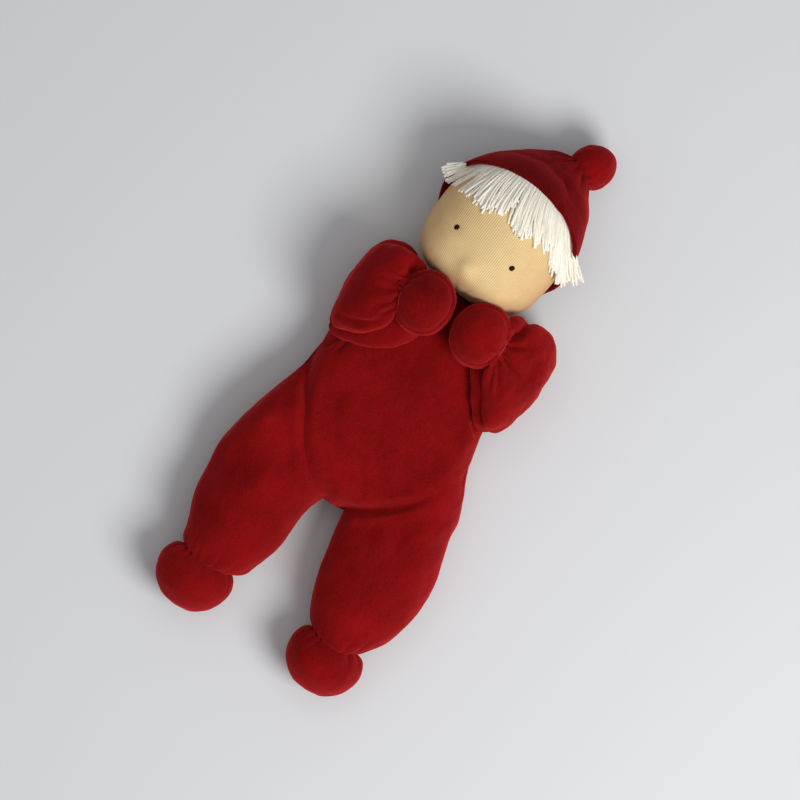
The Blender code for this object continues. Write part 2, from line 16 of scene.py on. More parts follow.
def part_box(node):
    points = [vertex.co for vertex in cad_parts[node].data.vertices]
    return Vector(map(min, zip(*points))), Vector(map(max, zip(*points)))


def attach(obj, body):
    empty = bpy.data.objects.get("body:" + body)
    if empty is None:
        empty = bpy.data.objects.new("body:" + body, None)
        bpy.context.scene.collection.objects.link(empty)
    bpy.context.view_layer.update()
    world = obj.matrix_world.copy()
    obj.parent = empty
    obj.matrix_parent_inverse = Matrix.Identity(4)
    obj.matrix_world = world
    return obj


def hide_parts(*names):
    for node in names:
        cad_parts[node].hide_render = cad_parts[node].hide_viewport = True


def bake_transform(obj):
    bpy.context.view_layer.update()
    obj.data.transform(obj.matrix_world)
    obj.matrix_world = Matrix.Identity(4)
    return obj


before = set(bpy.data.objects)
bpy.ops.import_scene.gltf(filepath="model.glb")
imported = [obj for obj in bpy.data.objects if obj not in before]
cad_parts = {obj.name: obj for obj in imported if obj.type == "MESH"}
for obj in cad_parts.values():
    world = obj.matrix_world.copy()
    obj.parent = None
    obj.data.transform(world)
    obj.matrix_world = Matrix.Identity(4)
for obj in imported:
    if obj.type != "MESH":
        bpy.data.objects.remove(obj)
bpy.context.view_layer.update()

bl_info = {
    "name": "Waldorf Doll",
    "version": (1, 0, 0),
    "blender": (4, 5, 0),
    "location": "View3D > Sidebar > Doll",
    "description": "Dresses the frame of a velour waldorf doll",
    "category": "Add Mesh",
}

MM = 0.001
SIDES = ((1, "left"), (-1, "right"))
UP_THE_BODY = (0, 1, 0)
ACROSS_THE_BODY = (1, 0, 0)
DOWN = Vector((0, 0, -1))
# Least height of cloth over the table, and the gaps between pieces that touch, in millimetres
FLOOR_GAP = 0.15
CLOTH_GAP = 0.3
LOBE_GAP = 0.25
HEM_GAP = 0.2
# Where a fall onto a surface starts, and how far a neighbour's surface is looked for, in metres
FALL_HEIGHT = 0.1
SEARCH_REACH = 0.03

# Where the camera stands: straight above, with the doll turned in its view
VIEW_TURN = math.radians(33)
VIEW_HEIGHT = 4.025
VIEW_FIELD = 0.4
VIEW_LEVEL = 0.025
SENSOR = 36.0
FLOOR_HALF = 3.0
SKY_STRENGTH = 0.34
# Soft lamps: way to each in plan, its height in degrees, its width in metres and its power
LAMP_DISTANCE = 1.4
LAMPS = {"key_softbox": ((0.97, -0.24), 52, 0.75, 15.0), "top_softbox": ((-0.1, 0.35), 72, 1.2, 2.6)}

# The joints of neck and bobble in metres, and how the head lies rolled and turned on the neck
NECK_PIVOT = (-0.0042, 0.054, 0.0215)
POMPOM_PIVOT = (0.011786, 0.141638, 0.021949)
HEAD_ROLL = math.radians(-4)
HEAD_LEAN = math.radians(-7)

# The hip crease in plan, from the waist round to the crotch, in millimetres
CREASES = {
    -1: ((-48.2, 4), (-47.2, -8), (-44.4, -17), (-38.4, -28), (-28, -45), (-16, -56.5), (-5.5, -61.6)),
    1: ((46.4, -8), (45.8, -14), (44.2, -21), (40.4, -30), (30.5, -42), (17.5, -53), (6.5, -60.8)),
}
# Cloth simulation: rows and columns of its grid, frames, how much smaller the cloth starts, its slack, how
# far it may move and how near a held line it stays. Lengths are in millimetres
CLOTH_GRID = (44, 56)
CLOTH_FRAMES = 20
CLOTH_SLIM = 2.2
CLOTH_SLACK = 0.07
CLOTH_CAP = 3.0
CLOTH_HOLD = 7.0
CLOTH_SIDEWAYS_SHARE = 0.3
# The same for feet and hands, which are small
BALL_CLOTH = {"grid": (26, 36), "cap": 1.5}
# Reaches in grid steps that smooth a move: for its broad part, and where it is spread on the fine rings
CLOTH_BROAD = (1, 2, 3, 4, 5)
CLOTH_FINE = (1, 2, 3, 1, 2, 3)
# The body as one stuffed form: height at its edge, rise to its back, how far in that takes, and its middle
BODY_SEAM = 20.4
BODY_RISE = 20.9
BODY_ROUNDING = 21
BODY_HEART = (0, -10)
CROTCH = ((-5.5, -61.6), (0, -62.2), (6.5, -60.8))
# The heights at which the upper half of the body and of a sleeve begins, and over what its folds fade in
SEAM_LEVEL = 20
SEAM_FADE = 8
SLEEVE_LEVEL = 40
SLEEVE_FADE = 6
# Near a crease torso and leg share one height: fully up to the first distance, fading over the second
CREASE_WIDTH = 2.8
CREASE_BLEND = (4, 16)
CREASE_FADE = 9
# How the torso sinks under a leg's edge, by a step of some width at the crease and a slope past it, and how
# far a leg sinks where its edge lies under the torso
DIVE_STEP = 0.25
DIVE_WIDTH = 0.8
DIVE_SLOPE = 0.8
LEG_SINK = 1.6
# How far the torso runs on under the leg's edge, down the crease
CREASE_UNDERLAPS = {
    -1: (0, 1.4, 2.4, 2.4, 2.4, 2.0, 0.4),
    1: (0.2, 1.6, 2.4, 2.4, 2.4, 2.0, 0.4),
}
# The groove along each crease: place in plan, depth, and whether the leg's edge lies on the torso (1) or
# under it (0)
CREASE_GROOVES = {
    -1: ((-48.2, 4, 0.2, 0), (-47.2, -8, 3.4, 1), (-44.4, -17, 4.8, 1), (-38.4, -28, 4.0, 1),
         (-28, -45, 2.6, 1), (-16, -56.5, 2.4, 1), (-5.5, -61.6, 1.8, 1)),
    1: ((46.4, -8, 0.0, 0), (45.8, -14, 0.0, 0.3), (44.2, -21, 0.2, 0.8), (40.4, -30, 1.0, 1),
        (30.5, -42, 4.2, 1), (17.5, -53, 5.4, 1), (6.5, -60.8, 4.6, 1)),
}
# Belly between the creases: how far each line across bows to the feet, from the crotch up, and then seam
# height, rise, drop and roundness, from the waist down
BELLY_BOWS = (0.6, 2.4, 4, 3.5, 2, 1, 0)
BELLY_FORM = (
    (20.5, 20.5, 20.3, 2.6), (20.5, 20.9, 20.3, 2.8), (20.5, 21.1, 20.3, 3.1), (20.5, 20.8, 20.2, 3.4),
    (20.5, 19.4, 19.8, 3.4), (20.5, 17.0, 18.8, 3.0), (20.5, 13.5, 17.0, 2.4),
)
# Chest: both edges, how far up the body, then the same four values
CHEST = (
    (-48.4, 43.4, 13, 20.5, 20.2, 20.2, 2.5),
    (-46.5, 42.4, 25, 20.5, 19.8, 20.0, 2.4),
    (-42.0, 40.0, 37, 20.5, 18.6, 20.0, 2.3),
    (-34.5, 33.0, 47, 21.0, 16.6, 19.5, 2.2),
    (-24.0, 20.0, 54, 21.5, 13.6, 17.0, 2.1),
    (-15.0, 8.0, 57.6, 21.5, 10.8, 11.0, 2.0),
    (-12.9, 5.1, 59.0, 21.5, 9.0, 9.0, 2.0),
)
# Legs: outer edge and inner edge in plan, from the crease to the ankle
LEG_EDGES = {
    -1: (
        (-48.2, 4, -5.5, -61.6), (-51.0, -13, -6.8, -64.8), (-56.0, -26, -7.9, -68.0),
        (-60.2, -39, -8.9, -72.0), (-62.9, -53, -9.7, -77.0),
        (-63.8, -69, -10.1, -84.0), (-62.2, -86, -10.5, -92.5),
        (-59.4, -100, -12.4, -102.0), (-56.2, -109.5, -15.2, -109.8), (-54.0, -115.5, -18.0, -115.5),
        (-49.0, -119.4, -24.0, -119.4), (-43.3, -118.9, -34.3, -118.9),
    ),
    1: (
        (46.4, -8, 6.5, -60.8), (48.8, -15.0, 7.0, -64.5), (54.2, -26, 7.5, -68.0), (59.2, -39, 7.9, -72.0),
        (62.8, -53, 8.6, -77.0), (65.4, -69, 9.8, -84.0), (65.6, -86, 11.8, -92.5),
        (63.0, -100, 15.0, -102.0), (58.8, -110, 19.0, -110.0), (53.6, -116, 23.2, -116.0),
        (48.5, -119.4, 28.5, -119.4), (43.3, -118.9, 34.3, -118.9),
    ),
}
# How many of these rows bound the body's one form
BODY_ROWS = 10
# Bow towards the foot, then seam height, rise, drop and roundness
LEG_FORM = (
    (0, 20, 17.4, 19.0, 2.3), (0, 20, 19.0, 19.6, 2.35), (0, 20, 20.4, 20.0, 2.35),
    (0, 20, 21.4, 20.4, 2.35), (0, 20, 21.9, 20.5, 2.3), (0, 20, 21.9, 20.5, 2.3),
    (0, 20, 21.3, 20.5, 2.25), (-0.8, 20, 20.4, 20.0, 2.25), (-2.6, 20, 18.8, 18.6, 2.2),
    (-5.2, 20, 15.8, 15.8, 2.15), (-3.0, 20, 9.2, 9.6, 2.1),
    (0, 19.8, 4.6, 4.6, 2.0),
)
# Broad hollows in the thighs beside the crease: place in plan and depth, then the width
THIGH_FOLDS = {
    -1: ((((-50, -22, 0.4), (-44, -36, 1.0), (-33, -52, 0.8), (-20, -64, 0.3)), 6.0),),
    1: ((((44, -34, 0.4), (34, -47, 1.6), (22, -58, 1.8), (12, -66, 0.6)), 6.0),),
}
# Where the neck's tie gathers the torso
TORSO_TIE = (-4, 59, 21.5)
# Short creases in the torso, each a line in plan with its width and depth
WAIST_CREASES = (
    (((-34, 19), (-38, 11), (-40, 2)), 1.5, 2.2), (((-42, 14), (-44, 7), (-46, 1)), 1.2, 1.4),
    (((36, 11), (41, 7), (45, 5)), 1.4, 1.6), (((-30, 30), (-20, 12), (-16, -4)), 6.0, 0.5),
)
# How far a leg's end tucks in under the crease, towards the heart of the body, and how far down the leg the
# crease's line shapes its rings
TUCK_HEART = (0, -20, 20)
CREASE_TUCK_SHARE = 0.12
CREASE_REACH_SHARE = 0.42

# Balls tied off at one end: distance from the tie, half width, rise and drop
FOOT_AXIS_X = 38.8
FOOT_TIE_Y = -118.9
FOOT_LEVEL = 19.8
FOOT_PROFILE = (
    (0.0, 4.5, 4.5, 4.5), (-0.4, 10.8, 7.0, 8.5), (0.9, 16.0, 10.5, 13.5), (4.4, 18.9, 14.6, 17.0),
    (9.4, 20.2, 18.2, 19.4), (14.8, 19.4, 19.8, 19.6), (20.6, 16.6, 17.6, 16.6), (25.2, 11.8, 12.4, 11.8),
    (27.6, 6.8, 7.2, 6.8), (28.4, 0.5, 0.8, 0.8),
)
# Where the bright seam thread lies at the edge of each hand, in plan: it is partly a painted highlight
SEAM_ENDS = {
    -1: ((-28.6, 45.5), (-28.0, 42.5), (-26.4, 39.0)),
    1: ((28.6, 53.0), (29.3, 49.5), (29.0, 45.0)),
}
SEAM_THREAD_RADIUS = 0.3
# The seam round each hand: how high over its middle, then the rise of its ridge, the depth of the hollow
# beside it, the distance between the two and the width of each
HAND_SEAM_LIFT = 5.5
HAND_SEAM_FORM = (0.65, 0.3, 1.9, 0.9)
HAND_MIDDLE_X = 15
HAND_CENTRES_Y = {-1: 47.2, 1: 48.6}
HAND_LEVEL = 53.2
HAND_TIE_X = 28.4
SLEEVE_TIE_SHIFT = 0.4
HAND_PROFILE = (
    (0.0, 4.3, 4.3, 4.3), (-0.4, 7.6, 7.2, 7.2), (1.0, 11.2, 10.4, 10.4), (4.0, 14.4, 13.2, 13.0),
    (8.0, 16.4, 15.3, 15.0), (12.6, 16.9, 15.8, 15.3), (18.2, 15.7, 14.6, 14.0), (23.0, 12.3, 11.3, 10.8),
    (26.0, 7.8, 6.9, 6.6), (27.4, 3.0, 2.7, 2.6), (27.8, 0.4, 0.4, 0.4),
)
POMPOM_PROFILE = (
    (0.0, 3.2, 3.2, 3.2), (0.6, 5.8, 5.8, 5.8), (2.4, 8.4, 8.4, 8.4), (5.6, 10.4, 10.4, 10.4),
    (9.8, 11.1, 11.1, 11.1), (14.2, 10.6, 10.6, 10.6), (18.4, 8.4, 8.4, 8.4), (21.2, 5.2, 5.2, 5.2),
    (22.7, 1.8, 1.8, 1.8), (22.9, 0.3, 0.3, 0.3),
)
POMPOM_AIM_SHARES = (0.45, 0.85, -0.25)
# The bound neck on its own axes: distance from the pivot and radius
NECK_PROFILE = (
    (-9, 4.0), (-8.4, 7.4), (-6, 8.4), (0, 8.5), (8, 8.5), (14, 8.4), (19.4, 8.0), (20.2, 4.0),
)
# How far apart the turns of the binding lie, how much they slant and how high they stand
BINDING_PITCH = 2.4
BINDING_SLANT = 0.35
BINDING_HEIGHT = 0.18
# Windings of tie thread: radius in millimetres, turns, points in a turn and how close the turns lie
WINDING_RADII = {"ankle": 4.6, "wrist": 4.4, "neck": 9.1, "pompom": 3.4}
WINDING_TURNS = 3
WINDING_POINTS = 26
WINDING_PITCH_SHARE = 0.95

# Sleeves: lower edge and upper edge in plan, seam height, rise, drop and roundness, from the wrist outwards
FOREARMS = {
    -1: (
        (-28.4, 43.1, -28.4, 51.5, 53.2, 4.3, 4.3, 2.0), (-26.4, 36.0, -25.6, 58.6, 52.5, 8.6, 8.0, 2.0),
        (-25.4, 28.2, -24.4, 63.0, 50.5, 11.8, 10.0, 2.1), (-32.0, 19.8, -32.0, 64.6, 47.5, 13.8, 11.0, 2.2),
        (-41.0, 14.6, -41.0, 64.8, 44.0, 14.8, 11.0, 2.3), (-48.5, 13.2, -48.0, 61.6, 40.5, 13.2, 9.6, 2.3),
        (-52.8, 22.0, -52.6, 56.0, 37.0, 10.0, 6.8, 2.2), (-54.4, 32.0, -54.4, 47.5, 34.5, 5.4, 3.8, 2.1),
        (-54.9, 38.0, -54.9, 42.0, 33.0, 1.0, 0.8, 2.0),
    ),
    1: (
        (28.4, 43.9, 28.4, 52.3, 53.2, 4.3, 4.3, 2.0), (27.4, 38.5, 26.4, 59.0, 52.5, 8.6, 8.0, 2.0),
        (28.0, 32.6, 24.5, 65.4, 50.5, 11.8, 10.0, 2.1), (31.5, 26.0, 31.5, 68.4, 47.5, 13.8, 11.0, 2.2),
        (37.0, 17.0, 40.5, 68.8, 44.0, 14.8, 11.0, 2.3), (44.6, 11.0, 48.6, 66.2, 40.5, 13.2, 9.6, 2.3),
        (51.8, 20.5, 54.0, 59.5, 37.0, 10.0, 6.8, 2.2), (55.6, 32.0, 56.2, 48.5, 34.5, 5.4, 3.8, 2.1),
        (56.8, 38.5, 56.8, 42.5, 33.0, 1.0, 0.8, 2.0),
    ),
}
# Folds in the sleeves: place in plan and depth, where less than nothing stands up, then the width
SLEEVE_FOLDS = {
    -1: (
        (((-34.0, 61.5, 0.5), (-31.4, 60.0, 4.2), (-29.6, 56.5, 6.0), (-29.4, 51.0, 4.5)), 2.8),
        (((-46.0, 60.5, 0.0), (-38.0, 62.0, -1.0), (-31.0, 63.5, -0.8), (-27.0, 61.0, 0.0)), 2.2),
        (((-29.5, 49.5, 3.2), (-35.0, 48.0, 3.0), (-42.0, 48.5, 0.0)), 1.7),
        (((-28.5, 46.0, 3.2), (-34.0, 44.0, 2.4), (-43.0, 41.0, 0.0)), 1.9),
        (((-28.0, 42.0, 3.4), (-32.0, 37.0, 2.2), (-38.0, 30.0, 0.0)), 1.9),
        (((-27.0, 37.5, 2.2), (-29.5, 32.5, 1.6), (-32.5, 27.0, 0.0)), 1.5),
        (((-51.0, 19.5, 0.3), (-43.0, 20.0, 1.4), (-34.0, 24.0, 1.5), (-27.5, 30.0, 0.5)), 1.3),
        (((-51.0, 17.0, -0.3), (-42.5, 17.2, -1.0), (-33.0, 21.2, -1.0), (-26.5, 27.0, -0.3)), 1.5),
    ),
    1: (
        (((29.5, 54.0, 3.5), (31.2, 59.0, 6.0), (32.4, 64.5, 4.6), (32.8, 70.0, 1.0)), 2.3),
        (((30.5, 51.5, 3.6), (36.0, 54.5, 2.6), (44.0, 59.0, 0.0)), 1.8),
        (((30.5, 46.5, 4.4), (36.0, 43.5, 3.6), (45.5, 42.0, 0.0)), 1.7),
        (((30.5, 42.0, 2.8), (35.0, 35.0, 2.0), (41.0, 26.0, 0.0)), 1.8),
        (((29.5, 38.5, 2.4), (33.0, 30.0, 1.6), (38.5, 21.0, 0.0)), 1.5),
        (((50.0, 60.0, 0.0), (47.0, 50.0, 1.0), (46.5, 38.0, 0.6), (48.0, 26.0, 0.0)), 3.2),
    ),
}
# The slack under each sleeve, which lies on the chest below the hand
LOBES = {
    -1: (
        (-50.4, 11.5, -50.6, 17.0, 28.0, 1.5, 1.5, 2.0), (-46.5, 9.0, -47.0, 26.0, 31.0, 5.0, 4.0, 2.1),
        (-36.5, 10.6, -38.0, 33.0, 37.5, 7.0, 5.0, 2.2), (-25.0, 14.4, -27.0, 38.0, 41.5, 7.2, 4.2, 2.2),
        (-17.4, 19.6, -18.0, 43.0, 43.2, 6.6, 3.4, 2.2), (-12.6, 25.4, -13.0, 45.0, 43.4, 5.0, 2.8, 2.1),
        (-9.6, 31.0, -10.0, 41.0, 43.2, 1.2, 1.0, 2.0),
    ),
    1: (
        (42.0, 8.2, 46.0, 10.5, 31.0, 1.5, 1.5, 2.0), (36.6, 10.6, 47.0, 18.0, 35.0, 5.0, 4.0, 2.2),
        (29.8, 18.8, 43.0, 28.0, 40.0, 6.2, 4.6, 2.4), (23.6, 27.8, 37.0, 37.0, 42.2, 6.2, 4.2, 2.4),
        (18.0, 34.6, 31.0, 45.0, 43.4, 5.0, 3.2, 2.2), (16.6, 40.0, 24.0, 47.0, 43.4, 1.2, 1.0, 2.0),
    ),
}
# The left upper arm in the same values. The right one is its mirror
UPPER_ARM = (
    (31.0, 27.0, 28.0, 60.0, 17.0, 3.0, 3.0, 2.0), (36.0, 16.0, 33.0, 66.4, 16.0, 10.4, 12.8, 2.2),
    (43.0, 11.4, 42.0, 67.6, 15.5, 13.6, 15.0, 2.3), (49.4, 12.6, 49.4, 63.6, 15.8, 13.2, 14.6, 2.3),
    (53.2, 20.0, 53.2, 56.0, 17.0, 11.0, 12.0, 2.2), (55.0, 32.0, 55.0, 47.0, 18.6, 6.0, 7.0, 2.1),
    (55.6, 37.5, 55.6, 41.5, 19.5, 1.0, 1.0, 2.0),
)

# Head, on its own axes with the neck's pivot at zero: rise, half width, centre and half depth
HEAD_FORM = (
    (7.6, 16.4, 6.0, 16.6), (9.6, 23.2, 10.4, 22.8), (13.5, 28.4, 12.6, 28.0), (20.0, 32.4, 12.9, 31.0),
    (29.1, 34.5, 12.7, 32.3), (39.8, 35.0, 12.7, 32.8), (49.7, 34.6, 12.7, 32.6), (58.0, 32.6, 12.7, 31.3),
    (66.0, 29.2, 12.7, 28.0), (73.0, 23.8, 12.7, 23.0), (78.5, 16.6, 12.7, 16.4), (82.0, 7.9, 12.7, 8.0),
    (83.3, 0.4, 12.7, 0.4),
)
HEAD_ROUNDNESS = 2.15
# Where the jersey is gathered under the chin
HEAD_TIE = (0, 7, 4)
# The face: place in plan, width, height and rise of the nose and of each cheek. Then where the eyes lie, the
# width, height and depth of the hollow round each, and of the band across both: its lift, width and depth
NOSE = (0.6, 18.2, 5.0, 5.0, 2.3)
CHEEK = (19, 19, 9, 8, 0.6)
EYE_ROW = (17.1, 31.8)
EYE_SHIFT = 0.9
SOCKET = (3.4, 3.0, 0.45)
EYE_BAND = (1, 7.5, 0.55)
FACE_LEVEL = 18
FACE_FADE = 14
# Eye stitches: half width and half height of an eye, count, points, lean, rise, sink and radius
EYE_SIZE = (1.15, 1.35)
EYE_STITCHES = 6
STITCH_POINTS = 9
STITCH_LEAN = 0.12
STITCH_RISE = 0.34
STITCH_SINK = 0.12
STITCH_RADIUS = 0.27
EYE_FALL_HEIGHT = 60

# Hood: lean and centre, half width and half depth of each ring
HOOD_FORM = (
    (12.0, 0.0, 29.2, 11.8, 27.9), (20.0, 0.0, 34.0, 12.7, 32.3), (29.1, 0.0, 37.0, 12.7, 34.2),
    (39.8, 0.0, 38.2, 12.7, 34.8), (49.7, 0.0, 37.9, 12.7, 34.7), (58.0, 0.1, 36.8, 12.6, 33.8),
    (65.5, 0.4, 33.9, 12.0, 31.2), (71.5, 1.2, 30.4, 10.8, 27.4), (77.5, 2.2, 26.0, 8.8, 22.4),
    (83.5, 3.0, 20.6, 6.0, 16.8), (89.0, 4.2, 15.0, 3.2, 12.0), (93.0, 5.6, 9.8, 1.4, 7.8),
    (94.9, 6.8, 4.8, 0.6, 4.0), (95.4, 7.2, 0.4, 0.4, 0.4),
)
BRIM_FRONT = (71.8, 37.7)
BRIM_NAPE = (22.0, -17.3)
HOOD_WALL = 1.5
HOOD_ROUNDNESS = 2.1
HOOD_EASE = 0.35
HEM_RADIUS = 1.15
HEM_POINTS = 220
# Soft creases in the peak, in plan on the head's own axes, with their depth and width
HOOD_CREASES = (((-18, 74), (-8, 80), (0, 88)), ((20, 66), (14, 76), (10, 86)), ((-4, 76), (2, 83), (5, 90)))
HOOD_CREASE_DEPTH = 0.8
HOOD_CREASE_WIDTH = 2.0
HOOD_PEAK = (8.4, 95.0, 0.4)
# Where the peak begins, over what length it grows, and how much more it rumples
PEAK_START = 62
PEAK_LENGTH = 20
PEAK_RUMPLE = 0.4

# Hills and hollows of the cloth: height, size across and seed of each kind
BODY_HILLS = ((0.5, 25, 11), (0.18, 7, 12))
FOOT_HILLS = ((0.2, 18, 31), (0.12, 6, 33))
UPPER_ARM_HILLS = ((0.4, 18, 41), (0.15, 6, 43))
SLEEVE_HILLS = ((0.6, 15, 45), (0.2, 6, 47))
LOBE_HILLS = ((0.4, 11, 51), (0.15, 5, 53))
HAND_HILLS = ((0.3, 13, 61), (0.12, 5, 63))
HAND_SEAM_HILLS = ((0.35, 12, 67),)
NECK_HILLS = ((0.12, 4, 71),)
HEAD_HILLS = ((0.14, 16, 81),)
HOOD_HILLS = ((0.3, 18, 91), (0.14, 7, 92))
POMPOM_HILLS = ((0.3, 10, 101), (0.12, 4, 102))
# Gathers at the ties: height, count, reach and seed
TORSO_GATHERS = (1.4, 16, 15, 13)
LEG_GATHERS = (1.3, 19, 13, 25)
FOOT_GATHERS = (1.4, 19, 12, 35)
SLEEVE_GATHERS = (2.0, 13, 14, 49)
HAND_GATHERS = (1.3, 15, 10, 65)
HEAD_GATHERS = (0.8, 22, 15, 83)
HOOD_GATHERS = (1.1, 13, 20, 93)
POMPOM_GATHERS = (1.2, 12, 11, 103)
GATHER_START = 0.12
POMPOM_GATHER_START = 0.2

# How each velour is drawn: where its patches are read, how much darker it is drawn and how strong the
# painted sheen at its edges is
VELOUR_LAYS = {
    "crimson_cotton_velour": (0.0,),
    "crimson_cotton_velour_darker": (0.02, 0.12),
    "crimson_cotton_velour_nap_and_painted_shade": (0.03, 0.32, 0.55),
}

# The left hand's velour is drawn a little darker than the right's
HAND_VELOURS = {-1: "crimson_cotton_velour_darker", 1: "crimson_cotton_velour"}

# Fringe in plan, across the face: where strands leave the brim, the way they set off and where they end
FRINGE_ROOTS = (
    (-30.6, 120.4), (-28.6, 121.6), (-24.5, 123.6), (-19.0, 125.4), (-12.0, 126.4), (-5.0, 126.9),
    (1.0, 126.8), (7.0, 126.2), (13.0, 124.9), (18.5, 122.6), (24.0, 119.6),
)
FRINGE_STARTS = (
    (-7.0, -4.5), (-6.5, -6.5), (-4.5, -9.0), (-3.0, -11.0), (-1.5, -12.0), (0.5, -12.5), (3.5, -12.0),
    (5.5, -11.5), (7.0, -10.8), (8.0, -10.2), (8.6, -9.6),
)
FRINGE_TIPS = (
    (-46.4, 110.6), (-42.4, 104.4), (-34.5, 103.2), (-25.0, 101.6), (-15.0, 100.6), (-8.0, 101.6),
    (3.0, 98.8), (12.0, 98.8), (22.0, 100.0), (33.5, 90.6), (46.0, 97.0),
)
# How high each layer of strands lies over the head
FRINGE_LIFTS = (0.65, 1.05, 1.45)
FRINGE_SEED = 7
FRINGE_STEPS = 24
FRINGE_CLUMPS = 19
# Past this share of its length a strand lies on the hood too, and the most that it falls in one step
FRINGE_FREE_SHARE = 0.6
FRINGE_FALL = 0.75
# How strands differ: root and tip along the fringe, tip in plan, how far ends stop short, in upper layers
# too, and how far the middle wanders. Then least and most of set-off and thickness, and how a strand tapers
ROOT_SPREAD_SHARE = 0.003
TIP_SPREAD_SHARE = 0.010
TIP_SPREAD = 0.8
TIP_SHORT = 1.8
LAYER_SHORT = 0.6
MIDDLE_SPREAD = 0.7
START_SHARES = (0.8, 1.15)
THICK_SHARES = (0.88, 1.08)
TAPER_PLACES = (0, 0.06, 0.9, 1)
TAPER_SHARES = (0.85, 1, 1, 0.92)
# Where the fringe parts at its tips: share of its width, how wide the gap is and how far up it goes
FRINGE_GAPS = ((0.455, 0.018, 8.0), (0.60, 0.010, 3.0), (0.735, 0.016, 7.0), (0.24, 0.010, 3.0))


def linear(code):
    """Linear colour of an sRGB hex code."""
    values = (int(code[place:place + 2], 16) / 255 for place in (0, 2, 4))
    return tuple(((value + 0.055) / 1.055) ** 2.4 if value > 0.04045 else value / 12.92 for value in values)


def length(name, description, default):
    return FloatProperty(
        name=name, description=description, default=default, min=0.1 * MM, subtype="DISTANCE", unit="LENGTH")


def colour(name, description, code):
    return FloatVectorProperty(
        name=name, description=description, default=linear(code), min=0, max=1, size=3, subtype="COLOR")


class DollSizes(bpy.types.PropertyGroup):
    """Sizes of the cloth and thread that a maker would change."""

    knit_wale: length("Knit Wale", "Width of one column of stitches in the face jersey", 1.1 * MM)
    rib: length("Velour Rib", "Distance between the faint ribs of the velour's backing", 1.3 * MM)
    brushed_patch: length("Brushed Patch", "Size of the patches where the pile lies another way", 26 * MM)
    strand: length("Hair Strand", "Thickness of one strand of hair yarn", 1.28 * MM)
    strand_count: IntProperty(
        name="Strand Count", description="How many strands each layer of the fringe has",
        default=66, min=8)
    thread: length("Tie Thread", "Thickness of the thread that ties off hands, feet and neck", 0.6 * MM)


class DollColours(bpy.types.PropertyGroup):
    """Colours of the doll's cloth and thread."""

    velour_deep: colour("Velour Shade", "Crimson velour where the pile lies away", "570405")
    velour_brushed: colour("Velour Brushed", "Crimson velour where the pile stands to the light", "980F11")
    # Painted sheen: the pale red mixed into the velour where a surface turns edge-on to the view
    velour_painted_sheen: colour("Velour Edge", "The frosted look of the pile at an edge", "C43234")
    skin: colour("Skin Jersey", "Golden tan of the face", "EBD09A")
    # Painted shade in the gaps of the knit and of the gauze, and the colour of the face's darker patches
    skin_painted_shade_and_tone: colour("Skin Jersey Shade", "The gaps between the face's stitches", "C99A5C")
    yarn: colour("Hair Yarn", "Off-white of the hair", "FAF3E2")
    yarn_deep: colour("Hair Yarn Shade", "Yarn where its fibres lie in shade", "E8DABD")
    eyes: colour("Eye Thread", "Dark brown of the eyes", "2E170C")
    thread: colour("Tie Thread", "Dark red of the ties", "5E0A0D")
    # The seam thread's bright orange red stands partly for a painted highlight along the hands' seams
    seam: colour("Seam Thread", "Orange red of the thread that shows at the hands", "A62A1C")
    floor: colour("Floor", "Pale floor", "D6D7D8")


# Shapes

def smooth(share):
    share = np.clip(share, 0, 1)
    return share * share * (3 - 2 * share)


def along_line(stations, shares):
    """The smooth line through a table's rows, read at shares of its length."""
    table = np.array(stations, float)
    last = len(table) - 1
    slopes = np.gradient(table, axis=0)

    def read(places):
        low = np.minimum(places.astype(int), last - 1)
        t = (places - low)[:, None]
        return (
            (2 * t ** 3 - 3 * t ** 2 + 1) * table[low] + (t ** 3 - 2 * t ** 2 + t) * slopes[low]
            + (3 * t ** 2 - 2 * t ** 3) * table[low + 1] + (t ** 3 - t ** 2) * slopes[low + 1])

    places = np.linspace(0, last, 40 * last + 1)
    steps = np.linalg.norm(np.diff(read(places), axis=0), axis=1)
    run = np.concatenate(([0], np.cumsum(steps)))
    return read(np.interp(np.asarray(shares) * run[-1], run, places))


def bag_rings(stations, rows, columns, first_line=None, reach=1.0):
    """Rings of a stuffed bag, in metres.

    A station gives both edges in plan, the bow between them, the seam's height, the rise above it, the drop
    below it and how square the section is. The first ring may follow a line of its own.
    """
    shares = np.linspace(0, 1, rows)
    table = along_line(stations, shares)
    edge_a, edge_b, bow = table[:, None, 0:2], table[:, None, 2:4], table[:, None, 4:6]
    seam, rise, drop, power = (table[:, place, None] for place in (6, 7, 8, 9))
    angle = np.linspace(0, math.pi, 361)[None, :]
    reach_out = (np.abs(np.cos(angle)) ** power + np.abs(np.sin(angle)) ** power) ** (-1 / power)
    section_x, section_z = -reach_out * np.cos(angle), reach_out * np.sin(angle)
    half_width = np.linalg.norm(edge_b - edge_a, axis=2) / 2
    steps = np.arange(columns // 2) / (columns // 2)
    halves = []
    for tall in (rise, drop):
        run = np.cumsum(np.hypot(np.diff(section_x) * half_width, np.diff(section_z) * tall), axis=1)
        run = np.concatenate((np.zeros((rows, 1)), run), axis=1)
        halves.append([
            np.array([np.interp(steps * length[-1], length, line) for length, line in zip(run, lines)])
            for lines in (section_x, section_z)])
    across = np.concatenate((halves[0][0], -halves[1][0]), axis=1)
    high = np.concatenate((halves[0][1], -halves[1][1]), axis=1)
    place = (1 + across[..., None]) / 2
    plan = edge_a + (edge_b - edge_a) * place + bow * (1 - across[..., None] ** 2)
    if first_line is not None:
        steps = np.linspace(0, 1, 200)
        line = along_line(first_line, steps)
        first = np.stack([np.interp(place[0, :, 0], steps, line[:, axis]) for axis in (0, 1)], 1)
        fade = 1 - smooth(shares / reach)
        plan = plan + fade[:, None, None] * (first - plan[0])[None]
    height = seam + np.where(high > 0, rise, drop) * high
    return np.concatenate((plan, height[..., None]), axis=2) * MM


